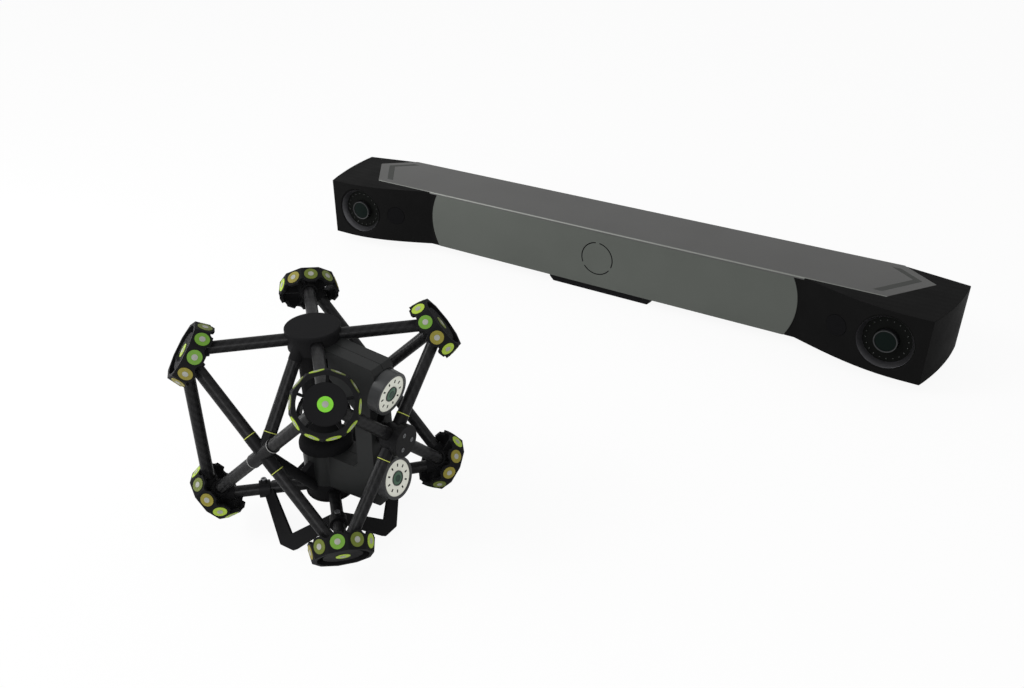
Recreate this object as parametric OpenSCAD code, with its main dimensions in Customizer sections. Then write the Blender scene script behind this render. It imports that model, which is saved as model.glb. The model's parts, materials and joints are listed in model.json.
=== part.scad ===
// Optical three-dimensional scanner set: a hand-held stereo scanner in a cage of marker heads,
// and the tracker bar that watches the cage. The origin is the mouth of the tripod thread under
// the tracker. +X runs along the bar, the bar looks along -Y, +Z is up, and z = 0 is the table.

/* [Placement of the set] */
// Distance from the tripod thread to the middle of the cage, along the bar
scanner_x = -6; // [-150:1:150]
// Distance from the tripod thread to the middle of the cage, in front of the bar
scanner_y = 687; // [500:1:1500]

/* [Cage] */
// Half the distance between marker heads, across and up
cage_half = 90; // [85:1:110]
// Half the distance between marker heads, front to back
cage_half_x = 92; // [88:1:112]
// Outer diameter of the carbon tubes
tube_d = 13; // [11:0.5:14]
// Wall of the carbon tubes
tube_wall = 1.3; // [0.8:0.1:2]
// Distance from a crossing to the bands on its tubes
band_from_cross = 23; // [20:1:30]
// Distance from the front hub to the bands on its tubes
band_from_hub = 26; // [24:1:34]

/* [Marker heads] */
// Distance across the corners of the ring at its front edge
head_front_d = 62; // [60:1:68]
// Distance across the corners of the ring at its back edge
head_back_d = 69; // [69:1:76]
// Depth of the ring
head_depth = 19; // [18:0.5:22]
// Bore of the ring at its front edge
head_bore_d = 52; // [48:1:53]
// Diameter of the plate in the middle
head_plate_d = 40; // [34:1:42]
// Diameter of a target
target_d = 14.5; // [12:0.5:15]
// Diameter of the dot in a target
target_dot_d = 6; // [4:0.5:8]

/* [Handle] */
// Radius of the grip's round front and back
grip_r = 16; // [14:0.5:17]
// Distance between the centres of the grip's front and back rounds
grip_run = 7; // [4:1:10]
// Radius of the cap on top of the handle
cap_r = 28.5; // [27:0.5:32]
// Thickness of that cap
cap_t = 5; // [4:0.5:8]
// Radius of the collar below the hand
collar_r = 29; // [27.5:0.5:32]
// Radius of the cup below the collar
cup_r = 26; // [24:0.5:27]
// How far the scan trigger travels
trigger_travel = 2.5; // [1.5:0.5:3]
// How far a thumb key travels
key_travel = 1; // [0.6:0.1:1.4]

/* [Camera housing] */
// Width of the housing at half its height
housing_w = 34; // [30:1:38]
// Half the height of the housing
housing_half = 83; // [80:1:83]
// Distance from the cage's middle to the housing's waist in front
waist_x = 78; // [74:1:80]
// Distance from the cage's middle to the housing's ends in front
nose_x = 86; // [84:1:90]
// Distance from the cage's middle to the wall in front of the fingers
finger_wall_x = 56; // [50:1:60]
// Height of a camera above or below the middle
camera_z = 54; // [52:1:56]
// Angle by which each camera looks towards the middle
camera_toe = 10; // [6:1:12]
// Outer diameter of a camera barrel
barrel_d = 46; // [44:1:48]
// Diameter of the lamp ring
lamp_d = 39; // [36:1:40]
// Diameter of the camera lens
lens_d = 16; // [14:1:18]

/* [Feet] */
// Distance from the cage's middle to the table
foot_drop = 130.5; // [126:0.5:150]
// Distance from the cage's middle to the tube clips, along and across
clip_at = 51; // [48:1:56]
// Distance from the cage's middle to the tip of a foot
foot_tip_at = 77; // [70:1:90]
// Thickness of a foot
foot_t = 4; // [3:0.5:5]
// Width of a foot's arms
foot_w = 12; // [10:1:14]

/* [Tracker bar] */
// Half the length of the top plate's front edge
bar_half = 435; // [420:1:460]
// Height of the bar
bar_h = 96.4; // [90:0.2:110]
// Depth of the bar behind its front panel
bar_back = 118; // [112:1:130]
// How far the camera ends stand forward of the front panel
end_forward = 42.6; // [34:0.2:48]
// Width of the front panel where its ends are straight
panel_w = 614; // [580:1:640]
// How far the round ends of the panel bulge
panel_bulge = 13; // [8:1:20]
// Thickness of the front panel
panel_t = 3; // [2:0.5:4]
// Thickness of the top plate
top_plate_t = 3.5; // [2:0.5:5]
// Distance from the bar's middle to each tracker lens
tracker_lens_x = 450; // [444:1:454]
// Outer diameter of a tracker camera's cone
bezel_d = 82; // [78:1:84]
// Depth of that cone
bezel_depth = 13; // [10:1:16]
// Diameter of a tracker lens
tracker_lens_d = 32; // [28:1:36]
// Diameter of the small round windows
window_d = 31; // [26:1:34]
// Outer diameter of the status ring
status_d = 55; // [45:1:65]

/* [Tripod mount] */
// Width of the mount plate
mount_w = 184; // [160:1:220]
// Depth of the mount plate
mount_depth = 96; // [70:1:100]
// Thickness of the mount plate
mount_t = 16.6; // [14:0.2:22]
// Radius of the tripod thread
thread_r = 4.76; // [3:0.01:6]
// Depth of the tripod thread
thread_len = 13; // [9:0.5:13]
// Distance from the front panel back to the tripod thread
thread_back = 61; // [56:1:66]

/* [Hidden] */
$fn = 64;

// Distance from the cage's middle back to the axis of the handle, and height of the finger gap's floor
axis_x = -3;
gap_floor = -42;
fit = 0.1;                 // gap between pieces that are fixed together
run_gap = 0.35;            // gap round a piece that moves
big = 400;

tube_r = tube_d / 2;
socket_r = tube_r + 2;

// Marker heads: signs of X, Y and Z at each corner of the cage, in the order of their nodes
corners = [[-1, 1, 1], [-1, -1, 1], [1, 1, 1], [1, -1, 1],
           [-1, 1, -1], [-1, -1, -1], [1, 1, -1], [1, -1, -1]];
function corner(c) = [c[0] * cage_half_x, c[1] * cage_half, c[2] * cage_half];

// Points where tubes meet
top_point = [0, 0, cage_half];
bottom_point = [0, 0, -housing_half - tube_r - 4];
front_point = [cage_half_x, 0, 0];
function cross_point(side) = [0, side * cage_half, 0];

// The points that the three tubes of a corner run to
function ends_of(c) = [
    c[2] > 0 ? top_point : bottom_point,
    cross_point(c[1]),
    c[0] > 0 ? front_point : [c[0] * cage_half_x, c[1] * cage_half, 0]
];

tube_in_head = 16;         // a tube starts this far from the head's middle
socket_in = 24;            // and its socket ends here

// Puts its children on the line from p to q, with z along the line
module along(p, q) {
    d = q - p;
    translate(p) rotate([0, acos(d[2] / norm(d)), atan2(d[1], d[0])]) children();
}

// A carbon tube from p to q that leaves out the first a and the last b millimetres
module tube(p, q, a, b) {
    long = norm(q - p) - a - b;
    along(p, q) translate([0, 0, a]) difference() {
        cylinder(r = tube_r, h = long);
        translate([0, 0, -1]) cylinder(r = tube_r - tube_wall, h = long + 2);
    }
}

module at_scanner() { translate([scanner_x, -scanner_y, foot_drop]) children(); }
module at_tracker() { translate([0, -thread_back, mount_t + bar_h / 2]) children(); }

// Marker heads

head_flats = 10;
head_front = 2;            // the front edge stands this far in front of the plate
plate_t = 4;
cone_depth = 14;
rib_t = 2.6;
ribs = 5;
rib_rise = 4;              // a rib starts this far from the ring's back edge
rib_in_ring = 1.4;
rib_h = head_depth - head_front - rib_rise - 3;
notch_r = 5;
front_flat = head_front_d / 2 * cos(180 / head_flats);
back_flat = head_back_d / 2 * cos(180 / head_flats);
taper = atan((back_flat - front_flat) / head_depth);
head_turn = 7;
target_t = 0.8;
target_seat = 0.3;
dot_t = 0.3;

// Puts its children in a head's own frame, with z along the outward diagonal of the cage
module at_head(c) { along(corner(c), corner(c) * 2) rotate([0, 0, head_turn]) children(); }

// Puts its children on each flat of the ring, with z out of the flat
module at_flats() {
    mid = (front_flat + back_flat) / 2;
    for (i = [0:head_flats - 1]) rotate([0, 0, i * 360 / head_flats])
        translate([mid, 0, head_front - head_depth / 2]) rotate([0, 90 - taper, 0]) children();
}

module head_ring() {
    difference() {
        translate([0, 0, head_front - head_depth]) cylinder(r = head_back_d / 2 + 1, h = head_depth);
        // The flats
        at_flats() translate([-big / 4, -big / 4, 0]) cube([big / 2, big / 2, big / 4]);
        translate([0, 0, head_front - head_depth - 0.01]) cylinder(
            r1 = head_bore_d / 2 + back_flat - front_flat, r2 = head_bore_d / 2, h = head_depth + 0.02);
        // The notches between the round tabs of the back edge
        for (i = [0:head_flats - 1]) rotate([0, 0, (i + 0.5) * 360 / head_flats])
            translate([head_bore_d / 2 - 3, 0, head_front - head_depth - 1]) rotate([0, 90, 0])
                cylinder(r = notch_r, h = head_back_d / 2);
        // The seats of the targets
        at_flats() translate([0, 0, -target_seat]) cylinder(r = target_d / 2 + fit, h = 5);
    }
}

module head_hub() {
    translate([0, 0, -plate_t]) cylinder(r = head_plate_d / 2, h = plate_t);
    translate([0, 0, -plate_t - cone_depth])
        cylinder(r1 = socket_r, r2 = head_plate_d / 2 - 4, h = cone_depth);
    for (i = [0:ribs - 1]) rotate([0, 0, (i + 0.25) * 360 / ribs])
        translate([head_plate_d / 4, -rib_t / 2, head_front - head_depth + rib_rise])
            cube([head_bore_d / 2 + rib_in_ring - head_plate_d / 4, rib_t, rib_h]);
}

module marker_head(c) {
    color([0.09, 0.09, 0.095]) at_scanner() difference() {
        union() {
            at_head(c) {
                head_ring();
                head_hub();
            }
            for (e = ends_of(c)) along(corner(c), e) translate([0, 0, tube_r])
                cylinder(r = socket_r, h = socket_in - tube_r);
        }
        for (e = ends_of(c)) along(corner(c), e) translate([0, 0, tube_in_head])
            cylinder(r = tube_r + fit, h = big);
        at_head(c) translate([0, 0, -target_seat]) cylinder(r = target_d / 2 + fit, h = 5);
    }
}

module target_rings() {
    color([0.55, 0.68, 0.16]) at_scanner() for (c = corners) at_head(c) {
        translate([0, 0, -target_seat]) cylinder(r = target_d / 2, h = target_t);
        at_flats() translate([0, 0, -target_seat]) cylinder(r = target_d / 2, h = target_t);
    }
}

module target_dots() {
    color([0.8, 0.8, 0.78]) at_scanner() for (c = corners) at_head(c) {
        translate([0, 0, target_t - target_seat]) cylinder(r = target_dot_d / 2, h = dot_t);
        at_flats() translate([0, 0, target_t - target_seat]) cylinder(r = target_dot_d / 2, h = dot_t);
    }
}

// Tubes of the cage

tube_in_hub = 17;          // a tube starts this far from a hub's middle
cross_r = 1;               // how much thicker than the tubes the crossing joint is
band_t = 0.5;
band_w = 1.4;

module hub_tubes(hub, heads, from_hub) {
    for (c = heads) tube(hub, corner(c), from_hub, tube_in_head);
}

module top_tubes() {
    color([0.12, 0.12, 0.125]) at_scanner()
        hub_tubes(top_point, [for (c = corners) if (c[2] > 0) c], tube_in_hub);
}

module bottom_tubes() {
    color([0.12, 0.12, 0.125]) at_scanner()
        hub_tubes(bottom_point, [for (c = corners) if (c[2] < 0) c], tube_in_hub);
}

module front_tubes() {
    color([0.12, 0.12, 0.125]) at_scanner()
        hub_tubes(front_point, [for (c = corners) if (c[0] > 0) c], band_from_hub);
}

module cross_tubes() {
    color([0.15, 0.15, 0.155]) at_scanner() for (side = [-1, 1])
        hub_tubes(cross_point(side), [for (c = corners) if (c[1] == side) c], band_from_cross);
}

module rear_tubes() {
    color([0.12, 0.12, 0.125]) at_scanner() for (side = [-1, 1])
        tube(corner([-1, side, -1]), corner([-1, side, 1]), tube_in_head, tube_in_head);
}

// A strut ends in a short sleeve under the edge of the top hub, clear of the grip
function strut_top(side) = [axis_x, side * (hub_r - 0.5), cage_half - hub_below + 1];
sleeve_below = 6;
sleeve_above = 8;
web_t = 7;
web_top = gap_floor - 9;
web_out = 14;
function arm_foot(side) = [axis_x, side * (cup_r - 2), -housing_half - 2];

module side_struts() {
    color([0.12, 0.12, 0.125]) at_scanner() for (side = [-1, 1])
        tube(cross_point(side), strut_top(side), band_from_cross, sleeve_below);
}

// Tapered arms from the crossings to the base, each with the web that steadies it on the cup
module side_arms() {
    color([0.1, 0.1, 0.105]) at_scanner() for (side = [-1, 1]) difference() {
        union() {
            along(cross_point(side), arm_foot(side)) translate([0, 0, band_from_cross])
                cylinder(r1 = tube_r, r2 = tube_r - 1,
                         h = norm(arm_foot(side) - cross_point(side)) - band_from_cross);
            translate([axis_x - web_t / 2, 0, 0]) rotate([90, 0, 90]) linear_extrude(web_t)
                polygon([[side * (cup_r - 2), web_top], [side * (cup_r - 2), 3 - housing_half],
                         [side * (cup_r + web_out), web_top - 6]]);
        }
        translate([axis_x, 0, -foot_drop]) cylinder(r = cup_r, h = big);
    }
}

// The tube from front to rear and down lies over the other one
module cross_joints() {
    color([0.16, 0.16, 0.165]) at_scanner() for (side = [-1, 1]) {
        for (c = corners) if (c[1] == side) along(cross_point(side), corner(c))
            cylinder(r = tube_r + (c[0] == c[2] ? cross_r : cross_r / 3), h = band_from_cross);
        along(cross_point(side), strut_top(side)) cylinder(r = tube_r + cross_r / 3, h = band_from_cross);
        along(cross_point(side), arm_foot(side)) cylinder(r = tube_r, h = band_from_cross);
    }
}

// A thin ring round the end of a sleeve, at a distance from p
module band(p, q, at) {
    along(p, q) translate([0, 0, at]) difference() {
        cylinder(r = tube_r + cross_r + band_t, h = band_w);
        translate([0, 0, -1]) cylinder(r = tube_r, h = band_w + 2);
    }
}

module tube_bands() {
    color([0.7, 0.8, 0.3]) at_scanner() {
        for (c = corners) band(cross_point(c[1]), corner(c), band_from_cross);
        for (side = [-1, 1]) band(cross_point(side), strut_top(side), band_from_cross);
        for (c = corners) if (c[0] > 0) band(front_point, corner(c), band_from_hub);
    }
}

// Handle

hub_r = cap_r - 1.5;
hub_below = 11;            // the top hub reaches this far below the tubes' level
hub_above = 7;
hub_floor = cage_half - hub_below;
grip_floor = gap_floor + 11;
grip_front = axis_x + grip_run / 2 + grip_r;
grip_back = axis_x - grip_run / 2 - grip_r;
core_r = 10.5;
trigger_w = 12;
trigger_low = 8;
trigger_high = 38;
trigger_out = 6.5;         // the trigger stands this far out of the grip
trigger_in = 4.5;
key_r = 5.5;
key_out = 1.8;
key_in = 4;
key_heights = [58, 42];

module tube_bores(hub, heads) {
    for (c = heads) along(hub, corner(c)) translate([0, 0, tube_in_hub]) cylinder(r = tube_r + fit, h = big);
}

module top_hub() {
    color([0.11, 0.11, 0.115]) at_scanner() difference() {
        union() {
            translate([axis_x, 0, hub_floor]) cylinder(r = hub_r, h = hub_below + hub_above);
            for (side = [-1, 1]) along(strut_top(side), cross_point(side)) translate([0, 0, -sleeve_above])
                cylinder(r = tube_r + cross_r / 3, h = sleeve_above + sleeve_below);
        }
        tube_bores(top_point, [for (c = corners) if (c[2] > 0) c]);
    }
}

module top_hub_cap() {
    color([0.12, 0.12, 0.125]) at_scanner() translate([axis_x, 0, cage_half + hub_above]) {
        cylinder(r = cap_r, h = cap_t - 1);
        translate([0, 0, cap_t - 1]) cylinder(r1 = cap_r, r2 = cap_r - 1, h = 1);
    }
}

bottom_hub_floor = bottom_point[2] - tube_r - 1.5;
disc_t = 2.5;

module bottom_hub() {
    color([0.1, 0.1, 0.105]) at_scanner() difference() {
        translate([axis_x, 0, bottom_hub_floor]) cylinder(r = cup_r, h = -housing_half - bottom_hub_floor);
        tube_bores(bottom_point, [for (c = corners) if (c[2] < 0) c]);
    }
}

module base_disc() {
    color([0.14, 0.14, 0.145]) at_scanner() translate([axis_x, 0, bottom_hub_floor - disc_t])
        cylinder(r1 = cup_r, r2 = cup_r + 1.5, h = disc_t);
}

module grip_outline() {
    for (end = [-1, 1]) translate([axis_x + end * grip_run / 2, 0]) circle(grip_r);
    translate([axis_x - grip_run / 2, -grip_r]) square([grip_run, 2 * grip_r]);
}

module grip_shell(side) {
    color([0.11, 0.11, 0.112]) at_scanner() difference() {
        translate([0, 0, grip_floor]) linear_extrude(hub_floor - grip_floor) grip_outline();
        translate([-big / 2, side > 0 ? -big : 0, -big / 2]) cube(big);
        translate([axis_x, 0, -big / 2]) cylinder(r = core_r + fit, h = big);
        translate([grip_front - trigger_in - trigger_travel - run_gap,
                   -trigger_w / 2 - run_gap, trigger_low - run_gap])
            cube([big, trigger_w + 2 * run_gap, trigger_high - trigger_low + 2 * run_gap]);
        for (z = key_heights) translate([grip_back + key_in + key_travel + run_gap, 0, z])
            rotate([0, -90, 0]) cylinder(r = key_r + run_gap, h = big);
    }
}

// The tube that carries the load from the top hub to the cup
module grip_tube() {
    color([0.55, 0.56, 0.58]) at_scanner() translate([axis_x, 0, gap_floor]) difference() {
        cylinder(r = core_r, h = hub_floor - gap_floor);
        translate([0, 0, -1]) cylinder(r = core_r - 2, h = big);
    }
}

collar_round = 8;

module hand_collar() {
    color([0.1, 0.1, 0.105]) at_scanner() translate([axis_x, 0, gap_floor]) rotate_extrude() polygon(concat(
        [[core_r + fit, 0], [collar_r, 0]],
        [for (a = [0:10:90]) [collar_r - collar_round + collar_round * cos(a),
                              grip_floor - gap_floor - collar_round + collar_round * sin(a)]],
        [[core_r + fit, grip_floor - gap_floor]]
    ));
}

trigger_round = 5;

module scan_trigger() {
    low = trigger_low + trigger_round;
    high = trigger_high - trigger_round;
    front = grip_front + trigger_out;
    color([0.2, 0.2, 0.205]) at_scanner() rotate([90, 0, 0])
        translate([0, 0, -trigger_w / 2]) linear_extrude(trigger_w) polygon(concat(
            [[grip_front - trigger_in, trigger_low]],
            [for (a = [-90:15:0]) [front + trigger_round * (cos(a) - 1), low + trigger_round * sin(a)]],
            [[front - 1.5, (low + high) / 2]],
            [for (a = [0:15:90]) [front + trigger_round * (cos(a) - 1), high + trigger_round * sin(a)]],
            [[grip_front - trigger_in, trigger_high]]
        ));
}

module thumb_key(i) {
    color([0.26, 0.26, 0.27]) at_scanner() translate([grip_back + key_in, 0, key_heights[i]])
        rotate([0, -90, 0]) union() {
            cylinder(r = key_r, h = key_in + key_out - 0.6);
            translate([0, 0, key_in + key_out - 0.6]) cylinder(r1 = key_r, r2 = key_r - 0.6, h = 0.6);
        }
}

// Camera housing

side_lean = 0.027;         // how much narrower each side gets for a millimetre of height
top_rise = 8;              // the top rises this much from the nose to the top hub
bottom_rise = 3;           // and the bottom from the cup to the nose
nose_z = camera_z + barrel_d / 2;
waist_z = nose_z - (nose_x - waist_x) / tan(camera_toe);
nose_chamfer = 3;
lamp_in = 3;
lamp_t = 2;
lens_len = 12;
barrel_out = 12.5;         // a barrel stands this far out of the housing
spigot_r = 13;             // and is held by a spigot in its back
spigot_len = 5;
barrel_x = waist_x + (camera_z - waist_z) * tan(camera_toe);
upper_wall_ahead = 30;
upper_wall_x = axis_x + upper_wall_ahead;
upper_wall_z = 56;
slope_z = 30;
stem_r = 10;
stem_in = 4;
window_r = 6;
window_z = 20;
window_t = 3;
socket_d = 12;
socket_t = 6;
socket_z = -64;

// Puts its children on a camera's face, with z out along the way it looks
module at_camera(up) {
    translate([barrel_x, 0, up * camera_z]) rotate([0, 90 + up * camera_toe, 0])
        translate([0, 0, barrel_out]) children();
}

// The housing from the front, narrower towards the top
module housing_front() {
    polygon([for (edge = [[-1, -1], [1, -1], [1, 1], [-1, 1]])
        [edge[0] * (housing_w / 2 - edge[1] * side_lean * big / 2), edge[1] * big / 2]]);
}

// The housing from the side, without the space for the fingers
module housing_side() {
    difference() {
        polygon([
            [axis_x, -housing_half], [axis_x + cup_r, -housing_half],
            [nose_x - nose_chamfer, bottom_rise - housing_half], [nose_x, -nose_z],
            [waist_x, -waist_z], [waist_x, waist_z], [nose_x, nose_z],
            [nose_x - nose_chamfer, housing_half], [axis_x, housing_half + top_rise]
        ]);
        polygon([
            [-2 * big, gap_floor], [finger_wall_x - 5, gap_floor], [finger_wall_x, gap_floor + 5],
            [finger_wall_x, slope_z], [upper_wall_x, upper_wall_z], [upper_wall_x, hub_floor],
            [-2 * big, hub_floor]
        ]);
    }
}

module housing_shell(side) {
    color([0.13, 0.135, 0.14]) at_scanner() difference() {
        union() {
            translate([axis_x, 0, -housing_half]) cylinder(r = cup_r, h = housing_half + gap_floor);
            intersection() {
                translate([axis_x, 0, 0]) rotate([90, 0, 90]) linear_extrude(big) housing_front();
                translate([0, big / 2, 0]) rotate([90, 0, 0]) linear_extrude(big) housing_side();
            }
        }
        translate([-big / 2, side > 0 ? -big : 0, -big / 2]) cube(big);
        translate([axis_x, 0, hub_floor - fit]) cylinder(r = hub_r + fit, h = big);
        tube_bores(top_point, [for (c = corners) if (c[0] > 0 && c[2] > 0) c]);
        for (up = [-1, 1]) at_camera(up) translate([0, 0, -barrel_out - spigot_len])
            cylinder(r = spigot_r + fit, h = big);
        translate([waist_x - stem_in, 0, 0]) rotate([0, 90, 0]) cylinder(r = stem_r + fit, h = big);
        for (z = [-window_z, window_z]) translate([waist_x - window_t, 0, z]) rotate([0, 90, 0])
            cylinder(r = window_r + fit, h = big);
        translate([axis_x - cup_r + socket_t, 0, socket_z]) rotate([0, -90, 0])
            cylinder(r = socket_d / 2 + fit, h = big);
    }
}

module camera_barrels() {
    color([0.06, 0.06, 0.062]) at_scanner() for (up = [-1, 1]) at_camera(up) difference() {
        union() {
            translate([0, 0, -barrel_out]) cylinder(r = barrel_d / 2, h = barrel_out);
            translate([0, 0, -barrel_out - spigot_len]) cylinder(r = spigot_r, h = spigot_len);
        }
        translate([0, 0, -lamp_in]) cylinder(r = lamp_d / 2 + fit, h = big);
        translate([0, 0, -lens_len]) cylinder(r = lens_d / 2 + fit, h = big);
    }
}

module lamp_rings() {
    color([0.86, 0.87, 0.82]) at_scanner() for (up = [-1, 1]) at_camera(up) translate([0, 0, -lamp_in])
        difference() {
            cylinder(r = lamp_d / 2, h = lamp_t);
            translate([0, 0, -1]) cylinder(r = lens_d / 2 + fit, h = big);
        }
}

module camera_lenses() {
    dome = 0.8 * lens_d;
    color([0.22, 0.33, 0.29]) at_scanner() for (up = [-1, 1]) at_camera(up) intersection() {
        translate([0, 0, -lens_len]) cylinder(r = lens_d / 2, h = lens_len);
        translate([0, 0, -dome]) sphere(r = dome);
    }
}

module laser_windows() {
    color([0.1, 0.02, 0.03]) at_scanner() for (z = [-window_z, window_z])
        translate([waist_x - window_t, 0, z]) rotate([0, 90, 0]) cylinder(r = window_r, h = window_t);
}

front_hub_r = 15;
front_cap_r = 17.5;
front_cap_t = 8;
front_cap_x = cage_half_x + tube_r + 2;
screw_r = 2.4;
screw_t = 0.8;
screw_circle = 9;

module front_hub() {
    color([0.12, 0.12, 0.122]) at_scanner() {
        translate([waist_x - stem_in, 0, 0]) rotate([0, 90, 0])
            cylinder(r = stem_r, h = front_cap_x - waist_x + stem_in);
        translate([cage_half_x - tube_r, 0, 0]) rotate([0, 90, 0])
            cylinder(r = front_hub_r, h = front_cap_x - cage_half_x + tube_r);
        for (c = corners) if (c[0] > 0) along(front_point, corner(c))
            cylinder(r = tube_r + cross_r / 3, h = band_from_hub);
    }
}

module at_front_screws() {
    for (i = [0:2]) rotate([i * 120 + 15, 0, 0]) translate([front_cap_x + front_cap_t, 0, screw_circle])
        rotate([0, 90, 0]) children();
}

module front_hub_cap() {
    color([0.14, 0.14, 0.142]) at_scanner() difference() {
        translate([front_cap_x, 0, 0]) rotate([0, 90, 0]) cylinder(r = front_cap_r, h = front_cap_t);
        at_front_screws() translate([0, 0, -screw_t]) cylinder(r = screw_r + fit, h = 5);
    }
}

module hub_screws() {
    color([0.45, 0.45, 0.46]) at_scanner() at_front_screws() translate([0, 0, -screw_t])
        cylinder(r = screw_r, h = screw_t);
}

// Feet

clip_wall = 3;
clip_len = 12;
tip_w = 14;
bolt_r = 3.5;
bolt_t = 3;
function clip_point(c) = bottom_point + (corner(c) - bottom_point) * clip_at / cage_half;
lower_corners = [for (c = corners) if (c[2] < 0) c];
clip_z = clip_point(lower_corners[0])[2];
clip_x = clip_at * cage_half_x / cage_half;

module at_clip(c, centred) {
    along(clip_point(c), corner(c)) translate([0, 0, centred ? -clip_len / 2 : 0]) children();
}

// A flat V between two clips, which leans out to its tip. hinge is the distance of its upper line
// from the middle, span is half the distance between its clips
module foot(hinge, span, turn) {
    lean = atan2(foot_tip_at - hinge, foot_drop + clip_z);
    reach = norm([foot_tip_at - hinge, foot_drop + clip_z]);
    far = 3 * cage_half;
    color([0.08, 0.08, 0.082]) at_scanner() difference() {
        rotate([0, 0, turn]) intersection() {
            translate([0, -hinge, clip_z]) rotate([-lean, 0, 0]) rotate([90, 0, 0])
                translate([0, 0, -foot_t / 2]) linear_extrude(foot_t) polygon([
                    [-span - 5, 3], [-tip_w / 2, -reach - foot_t],
                    [tip_w / 2, -reach - foot_t], [span + 5, 3],
                    [span - foot_w, 3], [0, foot_w * 1.2 - reach], [foot_w - span, 3]
                ]);
            translate([0, 0, -foot_drop]) linear_extrude(big)
                polygon([[0, -0.5], [-far * span, -0.5 - far * hinge], [far * span, -0.5 - far * hinge]]);
        }
        for (c = lower_corners) at_clip(c, true) cylinder(r = tube_r + clip_wall, h = clip_len);
        for (c = lower_corners) along(bottom_point, corner(c)) cylinder(r = tube_r + 0.5, h = big);
    }
}

module foot_clips() {
    color([0.16, 0.16, 0.165]) at_scanner() for (c = lower_corners) difference() {
        union() {
            at_clip(c, true) cylinder(r = tube_r + clip_wall, h = clip_len);
            translate(clip_point(c)) cylinder(r = bolt_r, h = tube_r + clip_wall + bolt_t);
        }
        along(bottom_point, corner(c)) cylinder(r = tube_r, h = big);
    }
}

// Tracker bar

top_z = bar_h / 2;
end_front_x = bar_half * 1.16;      // front and back corners of an end face
end_back_x = bar_half * 1.212;
end_back_y = bar_back - 23;
end_bulge = 5.5;
end_wall = 12;
flare_x = panel_w / 2 + panel_bulge + 3;
flare_end_x = bar_half * 1.1;
rear_t = 3;
shell_t = 3;
inner_h = bar_h - top_plate_t - 2 * shell_t;
cover_in = 5;                       // the rear cover ends this far inside the top plate's corner
cover_lap = 3;
body_half = panel_w / 2 - 7;
tip_out = 51;
tip_x = bar_half + tip_out;         // pointed ends of the top plate
tip_y = 73;
plate_back_y = bar_back - rear_t + 1;
tip_grow = 1.4;                     // a point moves further out than the edges beside it
steps = 10;

// The front of an end: flat behind the panel's end, then a smooth curve forward
flare_run = flare_end_x - flare_x;
function flare_y(x) = -end_forward * sin(90 * (x - flare_x) / flare_run);
flare = [for (i = [0:steps]) let (x = flare_x + flare_run * i / steps) [x, flare_y(x)]];
// The end face: a shallow arch
end_face = [for (i = [0:steps]) let (t = i / steps)
    [end_front_x + (end_back_x - end_front_x) * t + 4 * end_bulge * t * (1 - t),
     -end_forward + (end_back_y + end_forward) * t]];
end_plan = concat([[body_half + fit, 0]], flare, end_face,
                  [[bar_half, bar_back - rear_t], [body_half + fit, bar_back - rear_t]]);

window_x = bar_half * 0.878;
window_tilt = atan(end_forward * PI / 2 / flare_run * cos(90 * (window_x - flare_x) / flare_run));
tracker_toe = 5;

// Puts its children on a tracker camera's axis, with z forward and 0 at the end's front
module at_tracker_camera(side) {
    translate([side * tracker_lens_x, flare_y(tracker_lens_x), 0])
        rotate([90, 0, -side * tracker_toe]) children();
}

module at_window(side) {
    translate([side * window_x, flare_y(window_x), 0]) rotate([90, 0, -side * window_tilt]) children();
}

module panel_shape(grow) {
    radius = (top_z * top_z + panel_bulge * panel_bulge) / (2 * panel_bulge);
    square([panel_w + 2 * grow, bar_h + 1], center = true);
    for (side = [-1, 1]) translate([side * (panel_w / 2 + panel_bulge - radius), 0]) intersection() {
        circle(radius + grow, $fn = 180);
        translate([side > 0 ? 0 : -big, -top_z]) square([big, bar_h]);
    }
}

module top_shape(grow) {
    edge = bar_half + grow;
    tip = tip_x + grow * tip_grow;
    polygon([[-edge, -grow], [edge, -grow], [tip, tip_y],
             [edge, plate_back_y], [-edge, plate_back_y], [-tip, tip_y]]);
}

module tracker_body() {
    color([0.1, 0.1, 0.102]) at_tracker() difference() {
        translate([-body_half, panel_t, -top_z])
            cube([2 * body_half, bar_back - rear_t - panel_t, bar_h - top_plate_t]);
        translate([-big, panel_t + shell_t, shell_t - top_z]) cube([2 * big, big, inner_h]);
    }
}

board_r = bezel_d / 2 - 7;
cone_run = bezel_d / 2 - board_r;
board_t = 2;
lens_ring_t = 2;
lens_ring_r = tracker_lens_d / 2;
board_hole_r = lens_ring_r + 1;
round_window_t = 3;
led_count = 20;
led_circle = 28.5;
led_r = 1.1;
led_t = 0.8;
led_seat = 0.2;

module tracker_end(side) {
    color([0.09, 0.09, 0.09]) at_tracker() mirror([side < 0 ? 1 : 0, 0, 0]) difference() {
        translate([0, 0, -top_z]) linear_extrude(bar_h) polygon(end_plan);
        // Room for the top plate, the front panel and the parts inside
        translate([0, 0, top_z - top_plate_t]) linear_extrude(big) top_shape(fit);
        translate([0, panel_t + fit, 0]) rotate([90, 0, 0]) linear_extrude(big) panel_shape(fit);
        translate([0, panel_t + shell_t, shell_t - top_z]) {
            cube([bar_half - cover_in - cover_lap, big, inner_h]);
            cube([end_front_x - end_wall, end_back_y - end_wall - panel_t - shell_t, inner_h]);
        }
        at_tracker_camera(1) {
            translate([0, 0, -bezel_depth])
                cylinder(r1 = board_r, r2 = board_r + 3 * cone_run, h = 3 * bezel_depth);
            translate([0, 0, -bezel_depth - board_t]) cylinder(r = board_r, h = board_t + 0.01);
            translate([0, 0, -big / 4]) cylinder(r = board_hole_r, h = big / 4);
        }
        at_window(1) translate([0, 0, -round_window_t]) cylinder(r = window_d / 2 + fit, h = big);
    }
}
status_t = 1.2;
status_w = 1.4;
status_gap = 14;

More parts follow.
